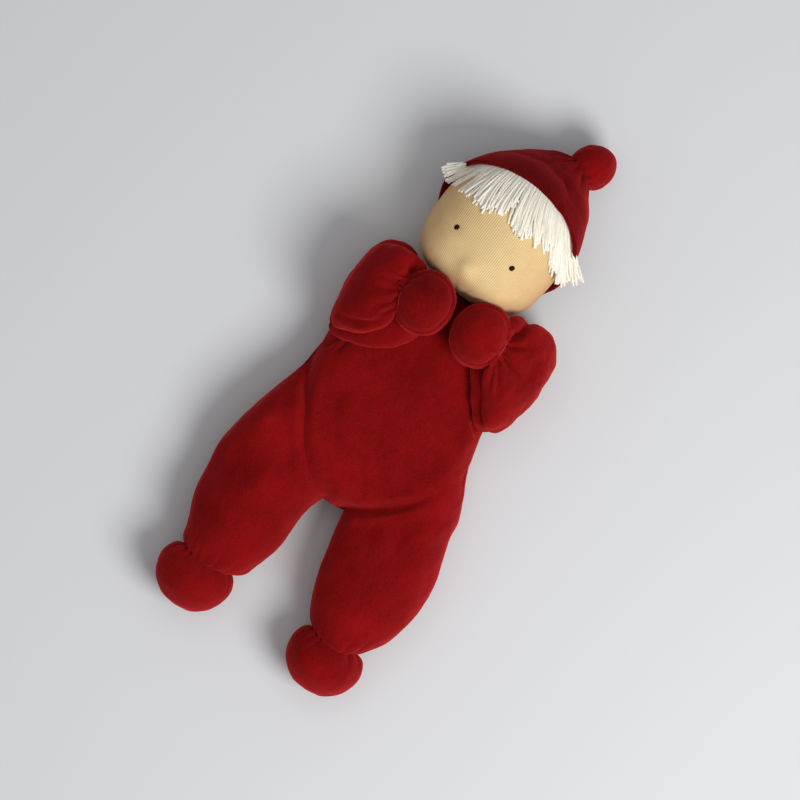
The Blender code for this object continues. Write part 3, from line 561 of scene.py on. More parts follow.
def ball_stations(profile):
    """Stations of a round bag about its own +Y axis."""
    return [(-half, along, half, along, 0, 0, 0, rise, drop, 2.0) for along, half, rise, drop in profile]


def flat_stations(edges):
    """Stations of a bag without a bow."""
    return [edge[:4] + (0, 0) + edge[4:] for edge in edges]


def placed(rings, frame_matrix):
    """Rings moved from a body's own axes to the doll's."""
    turn = np.array(frame_matrix.to_3x3())
    return rings @ turn.T + np.array(frame_matrix.translation)


def add_skin(name, rings):
    """A mesh over rings of points, closed at both ends, with its cloth laid out in real size."""
    rows, columns, _ = rings.shape
    points = rings.reshape(-1, 3)
    index = np.arange(rows * columns).reshape(rows, columns)
    following = np.roll(index, -1, axis=1)
    quads = np.stack((index[:-1], following[:-1], following[1:], index[1:]), axis=2)
    faces = [tuple(face) for face in quads.reshape(-1, 4).tolist()]
    points = np.concatenate((points, np.array([rings[0].mean(axis=0), rings[-1].mean(axis=0)])))
    start, end = rows * columns, rows * columns + 1
    faces += [(start, int(b), int(a)) for a, b in zip(index[0], following[0])]
    faces += [(end, int(a), int(b)) for a, b in zip(index[-1], following[-1])]
    mesh = bpy.data.meshes.new(name)
    mesh.from_pydata(points.tolist(), [], faces)
    girth = np.linalg.norm(np.roll(rings, -1, axis=1) - rings, axis=2).sum(axis=1).max()
    run = np.linalg.norm(np.diff(rings, axis=0), axis=2).mean(axis=1)
    run = np.concatenate(([0], np.cumsum(run)))
    layer = mesh.uv_layers.new(name="Cloth")
    corners = np.empty(len(mesh.loops), int)
    mesh.loops.foreach_get("vertex_index", corners)
    inside = np.minimum(corners, rows * columns - 1)
    u = (inside % columns) / columns
    starts = [polygon.loop_start for polygon in mesh.polygons]
    first = np.repeat(starts, [polygon.loop_total for polygon in mesh.polygons])
    u = np.where(u[first] - u > 0.5, u + 1, np.where(u - u[first] > 0.5, u - 1, u))
    flat = np.stack((u * girth, run[inside // columns]), axis=1)
    layer.data.foreach_set("uv", flat.ravel())
    mesh.shade_smooth()
    piece = bpy.data.objects.new(name, mesh)
    bpy.context.scene.collection.objects.link(piece)
    outward(piece)
    return piece


def outward(piece):
    """Turns every face outwards."""
    bm = bmesh.new()
    bm.from_mesh(piece.data)
    bmesh.ops.recalc_face_normals(bm, faces=bm.faces)
    bm.to_mesh(piece.data)
    bm.free()


def points_of(piece):
    points = np.empty(len(piece.data.vertices) * 3)
    piece.data.vertices.foreach_get("co", points)
    return points.reshape(-1, 3)


def normals_of(piece):
    normals = np.empty(len(piece.data.vertices) * 3)
    piece.data.vertex_normals.foreach_get("vector", normals)
    return normals.reshape(-1, 3)


def put_points(piece, points):
    piece.data.vertices.foreach_set("co", np.ascontiguousarray(points).ravel())
    piece.data.update()


def press(piece, amount):
    """Moves the surface along its normals by an amount in millimetres at each point."""
    put_points(piece, points_of(piece) + normals_of(piece) * (amount * MM)[:, None])


def rest_on_floor(piece):
    points = points_of(piece)
    points[:, 2] = np.maximum(points[:, 2], FLOOR_GAP * MM)
    put_points(piece, points)


def settle(piece):
    """Turns a piece's modifiers into its mesh."""
    graph = bpy.context.evaluated_depsgraph_get()
    mesh = bpy.data.meshes.new_from_object(piece.evaluated_get(graph))
    piece.modifiers.clear()
    before = piece.data
    piece.data = mesh
    bpy.data.meshes.remove(before)


def upper_half(points, level, fade):
    """From 0 below a level to 1 above it, in millimetres."""
    return smooth((points[:, 2] / MM - level) / fade)


def lumps(points, size, seed, waves=14):
    """Smooth hills and hollows about a size apart in millimetres, from about -1 to 1."""
    draw = np.random.default_rng(seed)
    total = np.zeros(len(points))
    for _ in range(waves):
        way = draw.normal(size=3)
        way *= 2 * math.pi / (size * MM * draw.uniform(0.7, 1.7)) / np.linalg.norm(way)
        total += np.sin(points @ way + draw.uniform(0, 2 * math.pi))
    return total / math.sqrt(2 * waves)


def hills(points, kinds, side=0):
    """The cloth's hills and hollows, in millimetres, with a draw of their own for each side."""
    return sum(height * lumps(points, size, seed + side) for height, size, seed in kinds)


def nearest_on(points, line, steps=120):
    """Each point's distance from a line in plan, in millimetres, with the nearest place's share and row."""
    shares = np.linspace(0, 1, steps)
    path = along_line(line, shares)
    away = np.linalg.norm(points[:, None, :2] / MM - path[None, :, :2], axis=2)
    nearest = away.argmin(axis=1)
    return away[np.arange(len(points)), nearest], shares[nearest], path[nearest]


def groove(points, line, width, taper=0.18):
    """A groove along a line in plan, fading at its ends: 1 deep, or as deep as a third value in its rows."""
    table = np.array(line, float)
    plan = points[:, :2] / MM
    edge = 3 * width
    low, high = table[:, :2].min(axis=0) - edge, table[:, :2].max(axis=0) + edge
    near = np.all((plan > low) & (plan < high), axis=1)
    total = np.zeros(len(points))
    if near.any():
        distance, share, row = nearest_on(points[near], line)
        ends = smooth(np.minimum(share, 1 - share) / taper) if taper else 1
        total[near] = np.exp(-(distance / width) ** 2) * ends * (row[:, 2] if table.shape[1] > 2 else 1)
    return total


def torso_edge(side):
    """The torso's edge in plan, which runs on a little under the leg."""
    line = np.array(CREASES[side], float)
    away = line - np.array(BODY_HEART)
    away /= np.linalg.norm(away, axis=1)[:, None]
    return (line + away * np.array(CREASE_UNDERLAPS[side])[:, None]).tolist()


def body_top(points):
    """How high torso and legs stand as one stuffed form, in millimetres, from how far in a point lies."""
    lines = [CROTCH]
    for side in (-1, 1):
        chest = [((left, right)[side > 0], y) for left, right, y, *_ in reversed(CHEST)]
        lines.append(chest + [torso_edge(side)[0]] + [edges[:2] for edges in LEG_EDGES[side][1:BODY_ROWS]])
        lines.append([edges[2:] for edges in LEG_EDGES[side][:BODY_ROWS]])
    inside = np.min([nearest_on(points, line)[0] for line in lines], axis=0)
    return BODY_SEAM + BODY_RISE * np.sqrt(1 - (1 - np.minimum(inside / BODY_ROUNDING, 1)) ** 2)


def join_at_crease(rings, sides, dives):
    """Brings the upper half of rings to the body's one height near the hip creases, and cuts their grooves.

    The piece that dives runs on below the other one past the crease.
    """
    rows, columns, _ = rings.shape
    top = rings[:, 1:columns // 2].reshape(-1, 3)
    found = [nearest_on(top, CREASE_GROOVES[side]) for side in sides]
    closest = np.argmin([distance for distance, _, _ in found], axis=0)
    each = np.arange(len(top))
    distance = np.array([item[0] for item in found])[closest, each]
    row = np.array([item[2] for item in found])[closest, each]
    weight = 1 - smooth((distance - CREASE_BLEND[0]) / CREASE_BLEND[1])
    near = np.flatnonzero(weight > 0)
    distance, row, weight, points = distance[near], row[near], weight[near], top[near]
    height = body_top(points) - row[:, 2] * np.exp(-(distance / CREASE_WIDTH) ** 2)
    if dives:
        heart = np.array(BODY_HEART)
        beyond = np.linalg.norm(points[:, :2] / MM - heart, axis=1)
        beyond -= np.linalg.norm(row[:, :2] - heart, axis=1)
        step = DIVE_STEP * smooth((beyond + DIVE_WIDTH) / DIVE_WIDTH)
        height -= row[:, 3] * (step + DIVE_SLOPE * np.maximum(beyond, 0))
    else:
        height -= LEG_SINK * (1 - row[:, 3])
    stand = upper_half(points, BODY_SEAM, CREASE_FADE)
    top[near, 2] += (height * MM - points[:, 2]) * weight * stand
    rings[:, 1:columns // 2] = top.reshape(rows, -1, 3)
    return rings


def gathers(points, centre, axis, folds, side=0, start=GATHER_START):
    """Folds that run out from a tie: rounded ridges with sharp valleys, fading with distance."""
    height, count, reach, seed = folds
    draw = np.random.default_rng(seed + side)
    axis = Vector(axis).normalized()
    across = axis.orthogonal().normalized()
    offset = points - np.array(centre) * MM
    u, v = offset @ np.array(across), offset @ np.array(axis.cross(across))
    angle = np.arctan2(v, u)
    away = np.hypot(offset @ np.array(axis), 0.35 * np.hypot(u, v)) / (reach * MM)
    wander = sum(
        draw.uniform(0.2, 0.6) * np.sin(turns * angle + draw.uniform(0, 2 * math.pi))
        for turns in (1, 2, 3))
    length = 1 + sum(
        draw.uniform(0.1, 0.22) * np.sin(turns * angle + draw.uniform(0, 2 * math.pi))
        for turns in (2, 3, 5))
    away = away / length
    fold = np.abs(np.sin(count * angle / 2 + wander)) ** 0.8 - 0.62
    off_axis = np.hypot(u, v) / (0.2 * reach * MM)
    return height * (fold * smooth(away / start) * (1 - smooth(away)) ** 1.3 * smooth(off_axis))


def surface_of(piece):
    """A search tree over a piece as it stands."""
    mesh = piece.data
    points = [tuple(vertex.co) for vertex in mesh.vertices]
    return BVHTree.FromPolygons(points, [tuple(polygon.vertices) for polygon in mesh.polygons])


def fall_on(tree, x, y):
    """Where a straight fall at a place in plan, in millimetres, meets a surface."""
    spot, _, _, _ = tree.ray_cast(Vector((x * MM, y * MM, FALL_HEIGHT)), DOWN)
    return spot


def keep_off(piece, others, gap):
    """Pushes a piece's points out of its neighbours, to a gap in millimetres."""
    points = points_of(piece)
    for other in others:
        tree = surface_of(other)
        low = np.array(points_of(other).min(axis=0)) - gap * MM
        high = np.array(points_of(other).max(axis=0)) + gap * MM
        near = np.flatnonzero(np.all((points > low) & (points < high), axis=1))
        for place in near:
            spot, normal, _, distance = tree.find_nearest(Vector(points[place]), SEARCH_REACH)
            if spot is None:
                continue
            signed = (Vector(points[place]) - spot).dot(normal)
            if signed < 0 or distance < gap * MM:
                points[place] = spot + normal * gap * MM
    put_points(piece, points)


def blurred(moves, reaches):
    """A grid of moves round a bag, each averaged with its neighbours."""
    for reach in reaches:
        moves = (moves + np.roll(moves, reach, axis=1) + np.roll(moves, -reach, axis=1)) / 3
        above = np.concatenate((moves[:1].repeat(reach, axis=0), moves[:-reach]))
        below = np.concatenate((moves[reach:], moves[-1:].repeat(reach, axis=0)))
        moves = (moves + above + below) / 3
    return moves


def spread(coarse, rows, columns):
    """A coarse grid of moves round a bag, spread smoothly over its finer rings."""
    count_rows, count_columns, _ = coarse.shape
    at_row = np.linspace(0, count_rows - 1, rows)
    at_column = np.arange(columns) * count_columns / columns
    closed = np.concatenate((coarse, coarse[:, :1]), axis=1)
    low = np.minimum(at_row.astype(int), count_rows - 2)
    share = (at_row - low)[:, None, None]
    by_row = closed[low] * (1 - share) + closed[low + 1] * share
    low = at_column.astype(int)
    share = (at_column - low)[None, :, None]
    fine = by_row[:, low] * (1 - share) + by_row[:, low + 1] * share
    return blurred(fine, CLOTH_FINE)


def stuffed(rings, held=(), grid=CLOTH_GRID, cap=CLOTH_CAP):
    """Rings of a bag after a short cloth simulation, in which its wool presses out slack cloth.

    The cloth starts a little small and swells. Both ends, and what lies near the lines that are held, stay.
    The bag keeps its broad form and takes the cloth's hills and hollows.
    """
    rows, columns, _ = rings.shape
    count_rows, count_columns = grid
    picked = np.linspace(0, rows - 1, count_rows).round().astype(int)
    coarse = rings[picked][:, np.arange(count_columns) * columns // count_columns]
    middle = coarse.mean(axis=1, keepdims=True)
    reach = np.linalg.norm(coarse - middle, axis=2, keepdims=True)
    fixed = np.zeros((count_rows, count_columns), bool)
    fixed[:2] = fixed[-2:] = True
    for line in held:
        near = nearest_on(coarse.reshape(-1, 3), line)[0] < CLOTH_HOLD
        fixed |= near.reshape(fixed.shape)
    slim = np.where(fixed[..., None], 0, CLOTH_SLIM * MM)
    start = coarse - (coarse - middle) / np.maximum(reach, MM) * np.minimum(slim, reach / 2)
    piece = add_skin("cloth", start)
    group = piece.vertex_groups.new(name="held")
    ends = [count_rows * count_columns, count_rows * count_columns + 1]
    group.add(np.flatnonzero(fixed.ravel()).tolist() + ends, 1.0, "ADD")
    cloth = piece.modifiers.new("cloth", "CLOTH")
    settings = cloth.settings
    settings.quality = 5
    settings.mass = 0.02
    settings.use_pressure = True
    settings.uniform_pressure_force = 4
    settings.bending_stiffness = 0.02
    settings.shrink_min = -CLOTH_SLACK
    settings.vertex_group_mass = "held"
    settings.effector_weights.gravity = 0
    cloth.point_cache.frame_start = 1
    cloth.point_cache.frame_end = CLOTH_FRAMES
    scene = bpy.context.scene
    for frame_number in range(1, CLOTH_FRAMES + 1):
        scene.frame_set(frame_number)
    settle(piece)
    moved = points_of(piece)[:count_rows * count_columns].reshape(coarse.shape) - coarse
    mesh = piece.data
    bpy.data.objects.remove(piece)
    bpy.data.meshes.remove(mesh)
    scene.frame_set(1)
    moved -= blurred(moved, CLOTH_BROAD)
    moved[..., :2] *= CLOTH_SIDEWAYS_SHARE
    length = np.linalg.norm(moved, axis=2, keepdims=True)
    moved *= np.minimum(1, cap * MM / np.maximum(length, 1e-9))
    moved[fixed] = 0
    return rings + spread(moved, rows, columns)


def add_tube(name, paths, radii, segments=10):
    """Round strands along lines of points, each closed at its ends, as one mesh."""
    points, faces, flat = [], [], []
    for path, radius in zip(paths, radii):
        path = np.asarray(path)
        count = len(path)
        forward = np.gradient(path, axis=0)
        forward /= np.linalg.norm(forward, axis=1)[:, None]
        side = np.array(Vector(forward[0]).orthogonal().normalized())
        run = np.concatenate(([0], np.cumsum(np.linalg.norm(np.diff(path, axis=0), axis=1))))
        angle = np.linspace(0, 2 * math.pi, segments, endpoint=False)
        base = len(points)
        for row in range(count):
            side = side - forward[row] * side.dot(forward[row])
            side /= np.linalg.norm(side)
            up = np.cross(forward[row], side)
            ring = path[row] + radius[row] * (np.cos(angle)[:, None] * side + np.sin(angle)[:, None] * up)
            points.extend(ring.tolist())
            flat.extend((place / segments, run[row]) for place in range(segments))
        for row in range(count - 1):
            for place in range(segments):
                a = base + row * segments + place
                b = base + row * segments + (place + 1) % segments
                faces.append((a, b, b + segments, a + segments))
        faces.append(tuple(base + place for place in reversed(range(segments))))
        faces.append(tuple(base + (count - 1) * segments + place for place in range(segments)))
    mesh = bpy.data.meshes.new(name)
    mesh.from_pydata(points, [], faces)
    layer = mesh.uv_layers.new(name="Cloth")
    corners = np.empty(len(mesh.loops), int)
    mesh.loops.foreach_get("vertex_index", corners)
    layer.data.foreach_set("uv", np.array(flat)[corners].ravel())
    mesh.shade_smooth()
    piece = bpy.data.objects.new(name, mesh)
    bpy.context.scene.collection.objects.link(piece)
    return piece


# Materials

def add_node(tree, kind, settings=None, inputs=None):
    """Adds a node with its settings. An input that is a socket is linked, and any other is set."""
    new = tree.nodes.new(kind)
    for name, value in (settings or {}).items():
        setattr(new, name, value)
    for name, value in (inputs or {}).items():
        if isinstance(value, bpy.types.NodeSocket):
            tree.links.new(value, new.inputs[name])
        else:
            new.inputs[name].default_value = value
    return new


def start_material(name):
    material = bpy.data.materials.new(name)
    material.use_nodes = True
    tree = material.node_tree
    tree.nodes.clear()
    return material, tree


def close_material(tree, shader):
    add_node(tree, "ShaderNodeOutputMaterial", None, {"Surface": shader.outputs[0]})


def cotton_velour(name, seed, darkening=0.0, painted_sheen_share=1.0):
    """Knitted cotton velour, sheared.

    Its short pile lies in darker and lighter brushed patches and lets the ribs of the knitted back show
    faintly along the body. Where a surface turns edge-on to the view its colour is mixed towards a pale red,
    a painted sheen.
    """
    scene = bpy.context.scene
    colours, sizes = scene.doll_colours, scene.doll_sizes
    material, tree = start_material(name)
    place = add_node(tree, "ShaderNodeTexCoord").outputs["Object"]
    shifted = add_node(tree, "ShaderNodeMapping", None, {"Vector": place, "Location": (seed, seed * 0.7, 0)})
    spot = shifted.outputs[0]
    patches = add_node(tree, "ShaderNodeTexNoise", None, {
        "Vector": spot, "Scale": 1 / sizes.brushed_patch, "Detail": 2.0, "Roughness": 0.5,
        "Distortion": 0.3})
    drawn = add_node(tree, "ShaderNodeMapping", None, {
        "Vector": spot, "Rotation": (0, 0, math.radians(-25)), "Scale": (1, 0.4, 1)})
    strokes = add_node(tree, "ShaderNodeTexNoise", None, {
        "Vector": drawn.outputs[0], "Scale": 1 / (0.14 * sizes.brushed_patch), "Detail": 3.0,
        "Roughness": 0.6})
    pile = add_node(tree, "ShaderNodeTexNoise", None, {
        "Vector": spot, "Scale": 1 / (0.7 * MM), "Detail": 3.0, "Roughness": 0.8})
    rib = add_node(tree, "ShaderNodeTexWave", {"wave_type": "BANDS", "bands_direction": "X"}, {
        "Vector": place, "Scale": 2 * math.pi / (20 * sizes.rib), "Distortion": 1.2, "Detail": 1.0,
        "Detail Scale": 0.35})
    stroked = add_node(tree, "ShaderNodeMath", {"operation": "MULTIPLY_ADD"}, {
        0: strokes.outputs["Fac"], 1: 0.28, 2: 0.14})
    lay = add_node(tree, "ShaderNodeMath", {"operation": "MULTIPLY_ADD"}, {
        0: patches.outputs["Fac"], 1: 0.72, 2: stroked.outputs[0]})
    grain = add_node(tree, "ShaderNodeMath", {"operation": "MULTIPLY_ADD"}, {
        0: pile.outputs["Fac"], 1: 1.2, 2: lay.outputs[0]})
    lined = add_node(tree, "ShaderNodeMath", {"operation": "MULTIPLY_ADD"}, {
        0: rib.outputs["Fac"], 1: 0.04, 2: grain.outputs[0]})
    # Darkening shifts the mix towards the deep red. On the hood it is partly painted shade
    amount = add_node(tree, "ShaderNodeMapRange", None, {
        "Value": lined.outputs[0], "From Min": 0.86 + darkening, "From Max": 1.68 + darkening})
    brushed = add_node(tree, "ShaderNodeMix", {"data_type": "RGBA"}, {
        0: amount.outputs[0], 6: (*colours.velour_deep, 1), 7: (*colours.velour_brushed, 1)})
    # Painted sheen: where a surface turns edge-on to the view its colour is mixed towards the pale edge red
    edge = add_node(tree, "ShaderNodeLayerWeight", None, {"Blend": 0.35})
    painted_sheen_rim = add_node(tree, "ShaderNodeMath", {"operation": "POWER"}, {0: edge.outputs["Facing"], 1: 1.8})
    stand = add_node(tree, "ShaderNodeMath", {"operation": "MULTIPLY"}, {0: painted_sheen_rim.outputs[0], 1: painted_sheen_share})
    colour = add_node(tree, "ShaderNodeMix", {"data_type": "RGBA"}, {
        0: stand.outputs[0], 6: brushed.outputs[2], 7: (*colours.velour_painted_sheen, 1)})
    ribbed = add_node(tree, "ShaderNodeMath", {"operation": "MULTIPLY_ADD"}, {
        0: rib.outputs["Fac"], 1: 0.12, 2: pile.outputs["Fac"]})
    relief = add_node(tree, "ShaderNodeBump", None, {
        "Strength": 0.7, "Distance": 0.35 * MM, "Height": ribbed.outputs[0]})
    shader = add_node(tree, "ShaderNodeBsdfPrincipled", None, {
        "Base Color": colour.outputs[2], "Roughness": 0.95, "Normal": relief.outputs[0],
        "Specular IOR Level": 0.06, "Sheen Weight": 0.7, "Sheen Roughness": 0.35,
        "Sheen Tint": (*linear("C8282C"), 1)})
    close_material(tree, shader)
    return material


def cotton_jersey(name):
    """Fine cotton jersey, knitted and stretched over the head.

    Its columns of small V stitches run up the face. They are drawn about twice as wide as the real ones,
    so that they show in the render.
    """
    scene = bpy.context.scene
    colours, sizes = scene.doll_colours, scene.doll_sizes
    material, tree = start_material(name)
    flat = add_node(tree, "ShaderNodeUVMap", {"uv_map": "Cloth"}).outputs[0]
    parts = add_node(tree, "ShaderNodeSeparateXYZ", None, {0: flat})
    wale = add_node(tree, "ShaderNodeMath", {"operation": "MULTIPLY"}, {
        0: parts.outputs[0], 1: 2 * math.pi / sizes.knit_wale})
    column = add_node(tree, "ShaderNodeMath", {"operation": "SINE"}, {0: wale.outputs[0]})
    course = add_node(tree, "ShaderNodeMath", {"operation": "MULTIPLY"}, {
        0: parts.outputs[1], 1: 2 * math.pi / (0.8 * sizes.knit_wale)})
    slant = add_node(tree, "ShaderNodeMath", {"operation": "ABSOLUTE"}, {0: column.outputs[0]})
    lean = add_node(tree, "ShaderNodeMath", {"operation": "MULTIPLY_ADD"}, {
        0: slant.outputs[0], 1: 1.6, 2: course.outputs[0]})
    row = add_node(tree, "ShaderNodeMath", {"operation": "SINE"}, {0: lean.outputs[0]})
    stitch = add_node(tree, "ShaderNodeMath", {"operation": "MULTIPLY_ADD"}, {
        0: row.outputs[0], 1: 0.5, 2: column.outputs[0]})
    place = add_node(tree, "ShaderNodeTexCoord").outputs["Object"]
    uneven = add_node(tree, "ShaderNodeTexNoise", None, {
        "Vector": place, "Scale": 1 / (7 * MM), "Detail": 3.0})
    # Painted shade in the gaps between the stitches
    gap = add_node(tree, "ShaderNodeMapRange", {"interpolation_type": "SMOOTHSTEP"}, {
        "Value": stitch.outputs[0], "From Min": -1.4, "From Max": 0.5, "To Min": 0.6, "To Max": 0.0})
    colour = add_node(tree, "ShaderNodeMix", {"data_type": "RGBA"}, {
        0: gap.outputs[0], 6: (*colours.skin, 1), 7: (*colours.skin_painted_shade_and_tone, 1)})
    tone = add_node(tree, "ShaderNodeMapRange", None, {
        "Value": uneven.outputs["Fac"], "From Min": 0.35, "From Max": 0.75, "To Max": 0.22})
    worn = add_node(tree, "ShaderNodeMix", {"data_type": "RGBA"}, {
        0: tone.outputs[0], 6: colour.outputs[2], 7: (*colours.skin_painted_shade_and_tone, 1)})
    # Painted shade: where the face turns away from the view its colour is mixed towards a darker warm orange
    edge = add_node(tree, "ShaderNodeLayerWeight", None, {"Blend": 0.3})
    turned = add_node(tree, "ShaderNodeMath", {"operation": "MULTIPLY"}, {0: edge.outputs["Facing"], 1: 0.8})
    painted_edge_shade = add_node(tree, "ShaderNodeMix", {"data_type": "RGBA"}, {
        0: turned.outputs[0], 6: worn.outputs[2], 7: (*linear("C88348"), 1)})
    relief = add_node(tree, "ShaderNodeBump", None, {
        "Strength": 0.5, "Distance": 0.14 * MM, "Height": stitch.outputs[0]})
    shader = add_node(tree, "ShaderNodeBsdfPrincipled", None, {
        "Base Color": painted_edge_shade.outputs[2], "Roughness": 0.85, "Normal": relief.outputs[0],
        "Specular IOR Level": 0.2, "Sheen Weight": 0.12})
    close_material(tree, shader)
    return material


def spun_cotton(name, pale, deep, fuzz, glow=0.0):
    """Spun cotton, as sewing thread or knitting yarn.

    Its short fibres give it a mottled grain with a soft fuzz. The grain is coarser than real fibres, so that
    it shows in the render.
    """
    material, tree = start_material(name)
    place = add_node(tree, "ShaderNodeTexCoord").outputs["Object"]
    fibre = add_node(tree, "ShaderNodeTexNoise", None, {
        "Vector": place, "Scale": 1 / (0.7 * MM), "Detail": 4.0, "Roughness": 0.7})
    clump = add_node(tree, "ShaderNodeTexNoise", None, {
        "Vector": place, "Scale": 1 / (5 * MM), "Detail": 2.0})
    blend = add_node(tree, "ShaderNodeMath", {"operation": "MULTIPLY_ADD"}, {
        0: fibre.outputs["Fac"], 1: 0.6, 2: clump.outputs["Fac"]})
    amount = add_node(tree, "ShaderNodeMapRange", None, {
        "Value": blend.outputs[0], "From Min": 0.6, "From Max": 1.05, "To Max": 0.3})
    colour = add_node(tree, "ShaderNodeMix", {"data_type": "RGBA"}, {
        0: amount.outputs[0], 6: (*pale, 1), 7: (*deep, 1)})
    relief = add_node(tree, "ShaderNodeBump", None, {
        "Strength": 0.45, "Distance": 0.1 * MM, "Height": fibre.outputs["Fac"]})
    shader = add_node(tree, "ShaderNodeBsdfPrincipled", None, {
        "Base Color": colour.outputs[2], "Roughness": 0.8, "Normal": relief.outputs[0],
        "Specular IOR Level": 0.12, "Sheen Weight": fuzz, "Subsurface Weight": glow,
        "Subsurface Radius": (1.0, 0.95, 0.85), "Subsurface Scale": 0.8 * MM})
    close_material(tree, shader)
    return material


def cotton_gauze(name):
    """Cotton gauze bound round the neck: an open weave, seen as a fine grid of light and shade."""
    colours = bpy.context.scene.doll_colours
    material, tree = start_material(name)
    place = add_node(tree, "ShaderNodeTexCoord").outputs["Object"]
    across = add_node(tree, "ShaderNodeTexWave", {"bands_direction": "X"}, {
        "Vector": place, "Scale": 2 * math.pi / (20 * 0.8 * MM), "Distortion": 0.6})
    along = add_node(tree, "ShaderNodeTexWave", {"bands_direction": "Y"}, {
        "Vector": place, "Scale": 2 * math.pi / (20 * 0.8 * MM), "Distortion": 0.6})
    weave = add_node(tree, "ShaderNodeMath", {"operation": "MAXIMUM"}, {
        0: across.outputs["Fac"], 1: along.outputs["Fac"]})
    colour = add_node(tree, "ShaderNodeMix", {"data_type": "RGBA"}, {
        0: weave.outputs[0], 6: (*colours.skin_painted_shade_and_tone, 1), 7: (*colours.skin, 1)})
    relief = add_node(tree, "ShaderNodeBump", None, {
        "Strength": 0.5, "Distance": 0.15 * MM, "Height": weave.outputs[0]})
    shader = add_node(tree, "ShaderNodeBsdfPrincipled", None, {
        "Base Color": colour.outputs[2], "Roughness": 0.9, "Normal": relief.outputs[0],
        "Specular IOR Level": 0.2})
    close_material(tree, shader)
    return material


def painted_paper(name):
    """A sheet of matt background paper, with a faint tooth."""
    colours = bpy.context.scene.doll_colours
    material, tree = start_material(name)
    place = add_node(tree, "ShaderNodeTexCoord").outputs["Object"]
    tooth = add_node(tree, "ShaderNodeTexNoise", None, {
        "Vector": place, "Scale": 1 / (1.4 * MM), "Detail": 3.0})
    amount = add_node(tree, "ShaderNodeMapRange", None, {"Value": tooth.outputs["Fac"], "To Max": 0.06})
    colour = add_node(tree, "ShaderNodeMix", {"data_type": "RGBA"}, {
        0: amount.outputs[0], 6: (*colours.floor, 1), 7: (*linear("B9BBBD"), 1)})
    shader = add_node(tree, "ShaderNodeBsdfPrincipled", None, {
        "Base Color": colour.outputs[2], "Roughness": 0.9, "Specular IOR Level": 0.2})
    close_material(tree, shader)
    return material


def finish_of(name, maker, *values):
    """The material of a name, made the first time that it is asked for."""
    return bpy.data.materials.get(name) or maker(name, *values)


def dress(piece, material):
    piece.data.materials.clear()
    piece.data.materials.append(material)


def velour_finish(piece, name="crimson_cotton_velour"):
    dress(piece, finish_of(name, cotton_velour, *VELOUR_LAYS[name]))


# Steps that several operators share

def neck_place():
    """The neck's own axes, rolled a little on the body."""
    return Matrix.Translation(Vector(NECK_PIVOT)) @ Matrix.Rotation(HEAD_ROLL, 4, "Z")


def head_place():
    """The head's own axes: it leans a little to one side on the neck."""
    leaning = Matrix.Rotation(HEAD_ROLL, 4, "Z") @ Matrix.Rotation(HEAD_LEAN, 4, "Y")
    return Matrix.Translation(Vector(NECK_PIVOT)) @ leaning


def wound_thread(name, kind, turn, body, replaced):
    """Thread wound round a gathered end, in a helix about the turned Y axis of the tie it replaces."""
    scene = bpy.context.scene
    colours, thread = scene.doll_colours, scene.doll_sizes.thread
    radius = WINDING_RADII[kind] * MM
    angle = np.linspace(0, 2 * math.pi * WINDING_TURNS, WINDING_POINTS * WINDING_TURNS)
    along = (angle / (2 * math.pi) - WINDING_TURNS / 2) * thread * WINDING_PITCH_SHARE
    path = np.stack((radius * np.cos(angle), along, radius * np.sin(angle)), axis=1)
    low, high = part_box(replaced)
    middle = Vector([(a + b) / 2 for a, b in zip(low, high)])
    path = placed(path, Matrix.Translation(middle) @ turn)
    piece = add_tube(name, [path], [np.full(len(path), thread / 2)], segments=8)
    waxed = finish_of("waxed_tie_thread", spun_cotton, colours.thread, colours.velour_deep, 0.1)
    dress(piece, waxed)
    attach(piece, body)
    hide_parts(replaced)


def ordered_loop(edges):
    """The corners of a ring of edges, in turn."""
    left = set(edges)
    first = min(left, key=lambda edge: edge.index)
    line = [first.verts[0], first.verts[1]]
    left.discard(first)
    while left:
        following = [edge for edge in line[-1].link_edges if edge in left]
        if not following:
            break
        left.discard(following[0])
        line.append(following[0].other_vert(line[-1]))
    return line


def swell(points, x, y, width, height):
    """A rounded swelling at a place on the face: 1 at its middle."""
    return np.exp(-(((points[:, 0] - x) / width) ** 2 + ((points[:, 1] - y) / height) ** 2))


# Operators, one for each group of like pieces

class DOLL_OT_torso(bpy.types.Operator):
    """Make the torso's velour bag"""
    bl_idname = "doll.torso"
    bl_label = "Torso"

    def execute(self, context):
        downwards = (torso_edge(-1), torso_edge(1), BELLY_FORM)
        belly = [
            (*left, *right, 0, -bow, *form)
            for left, right, form, bow in zip(*map(reversed, downwards), BELLY_BOWS)]
        chest = [(a, y, b, y, 0, 0, *form) for a, b, y, *form in CHEST]
        rings = stuffed(bag_rings(belly + chest, 220, 260), CREASE_GROOVES.values())
        rings = join_at_crease(rings, (-1, 1), True)
        piece = add_skin("torso_velour", rings)
        points = points_of(piece)
        top = upper_half(points, SEAM_LEVEL, SEAM_FADE)
        amount = hills(points, BODY_HILLS) + gathers(points, TORSO_TIE, UP_THE_BODY, TORSO_GATHERS)
        for line, width, depth in WAIST_CREASES:
            amount -= depth * groove(points, line, width) * top
        press(piece, amount)
        rest_on_floor(piece)
        velour_finish(piece)
        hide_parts("torso_cover", "torso_wool")
        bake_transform(piece)
        return {"FINISHED"}


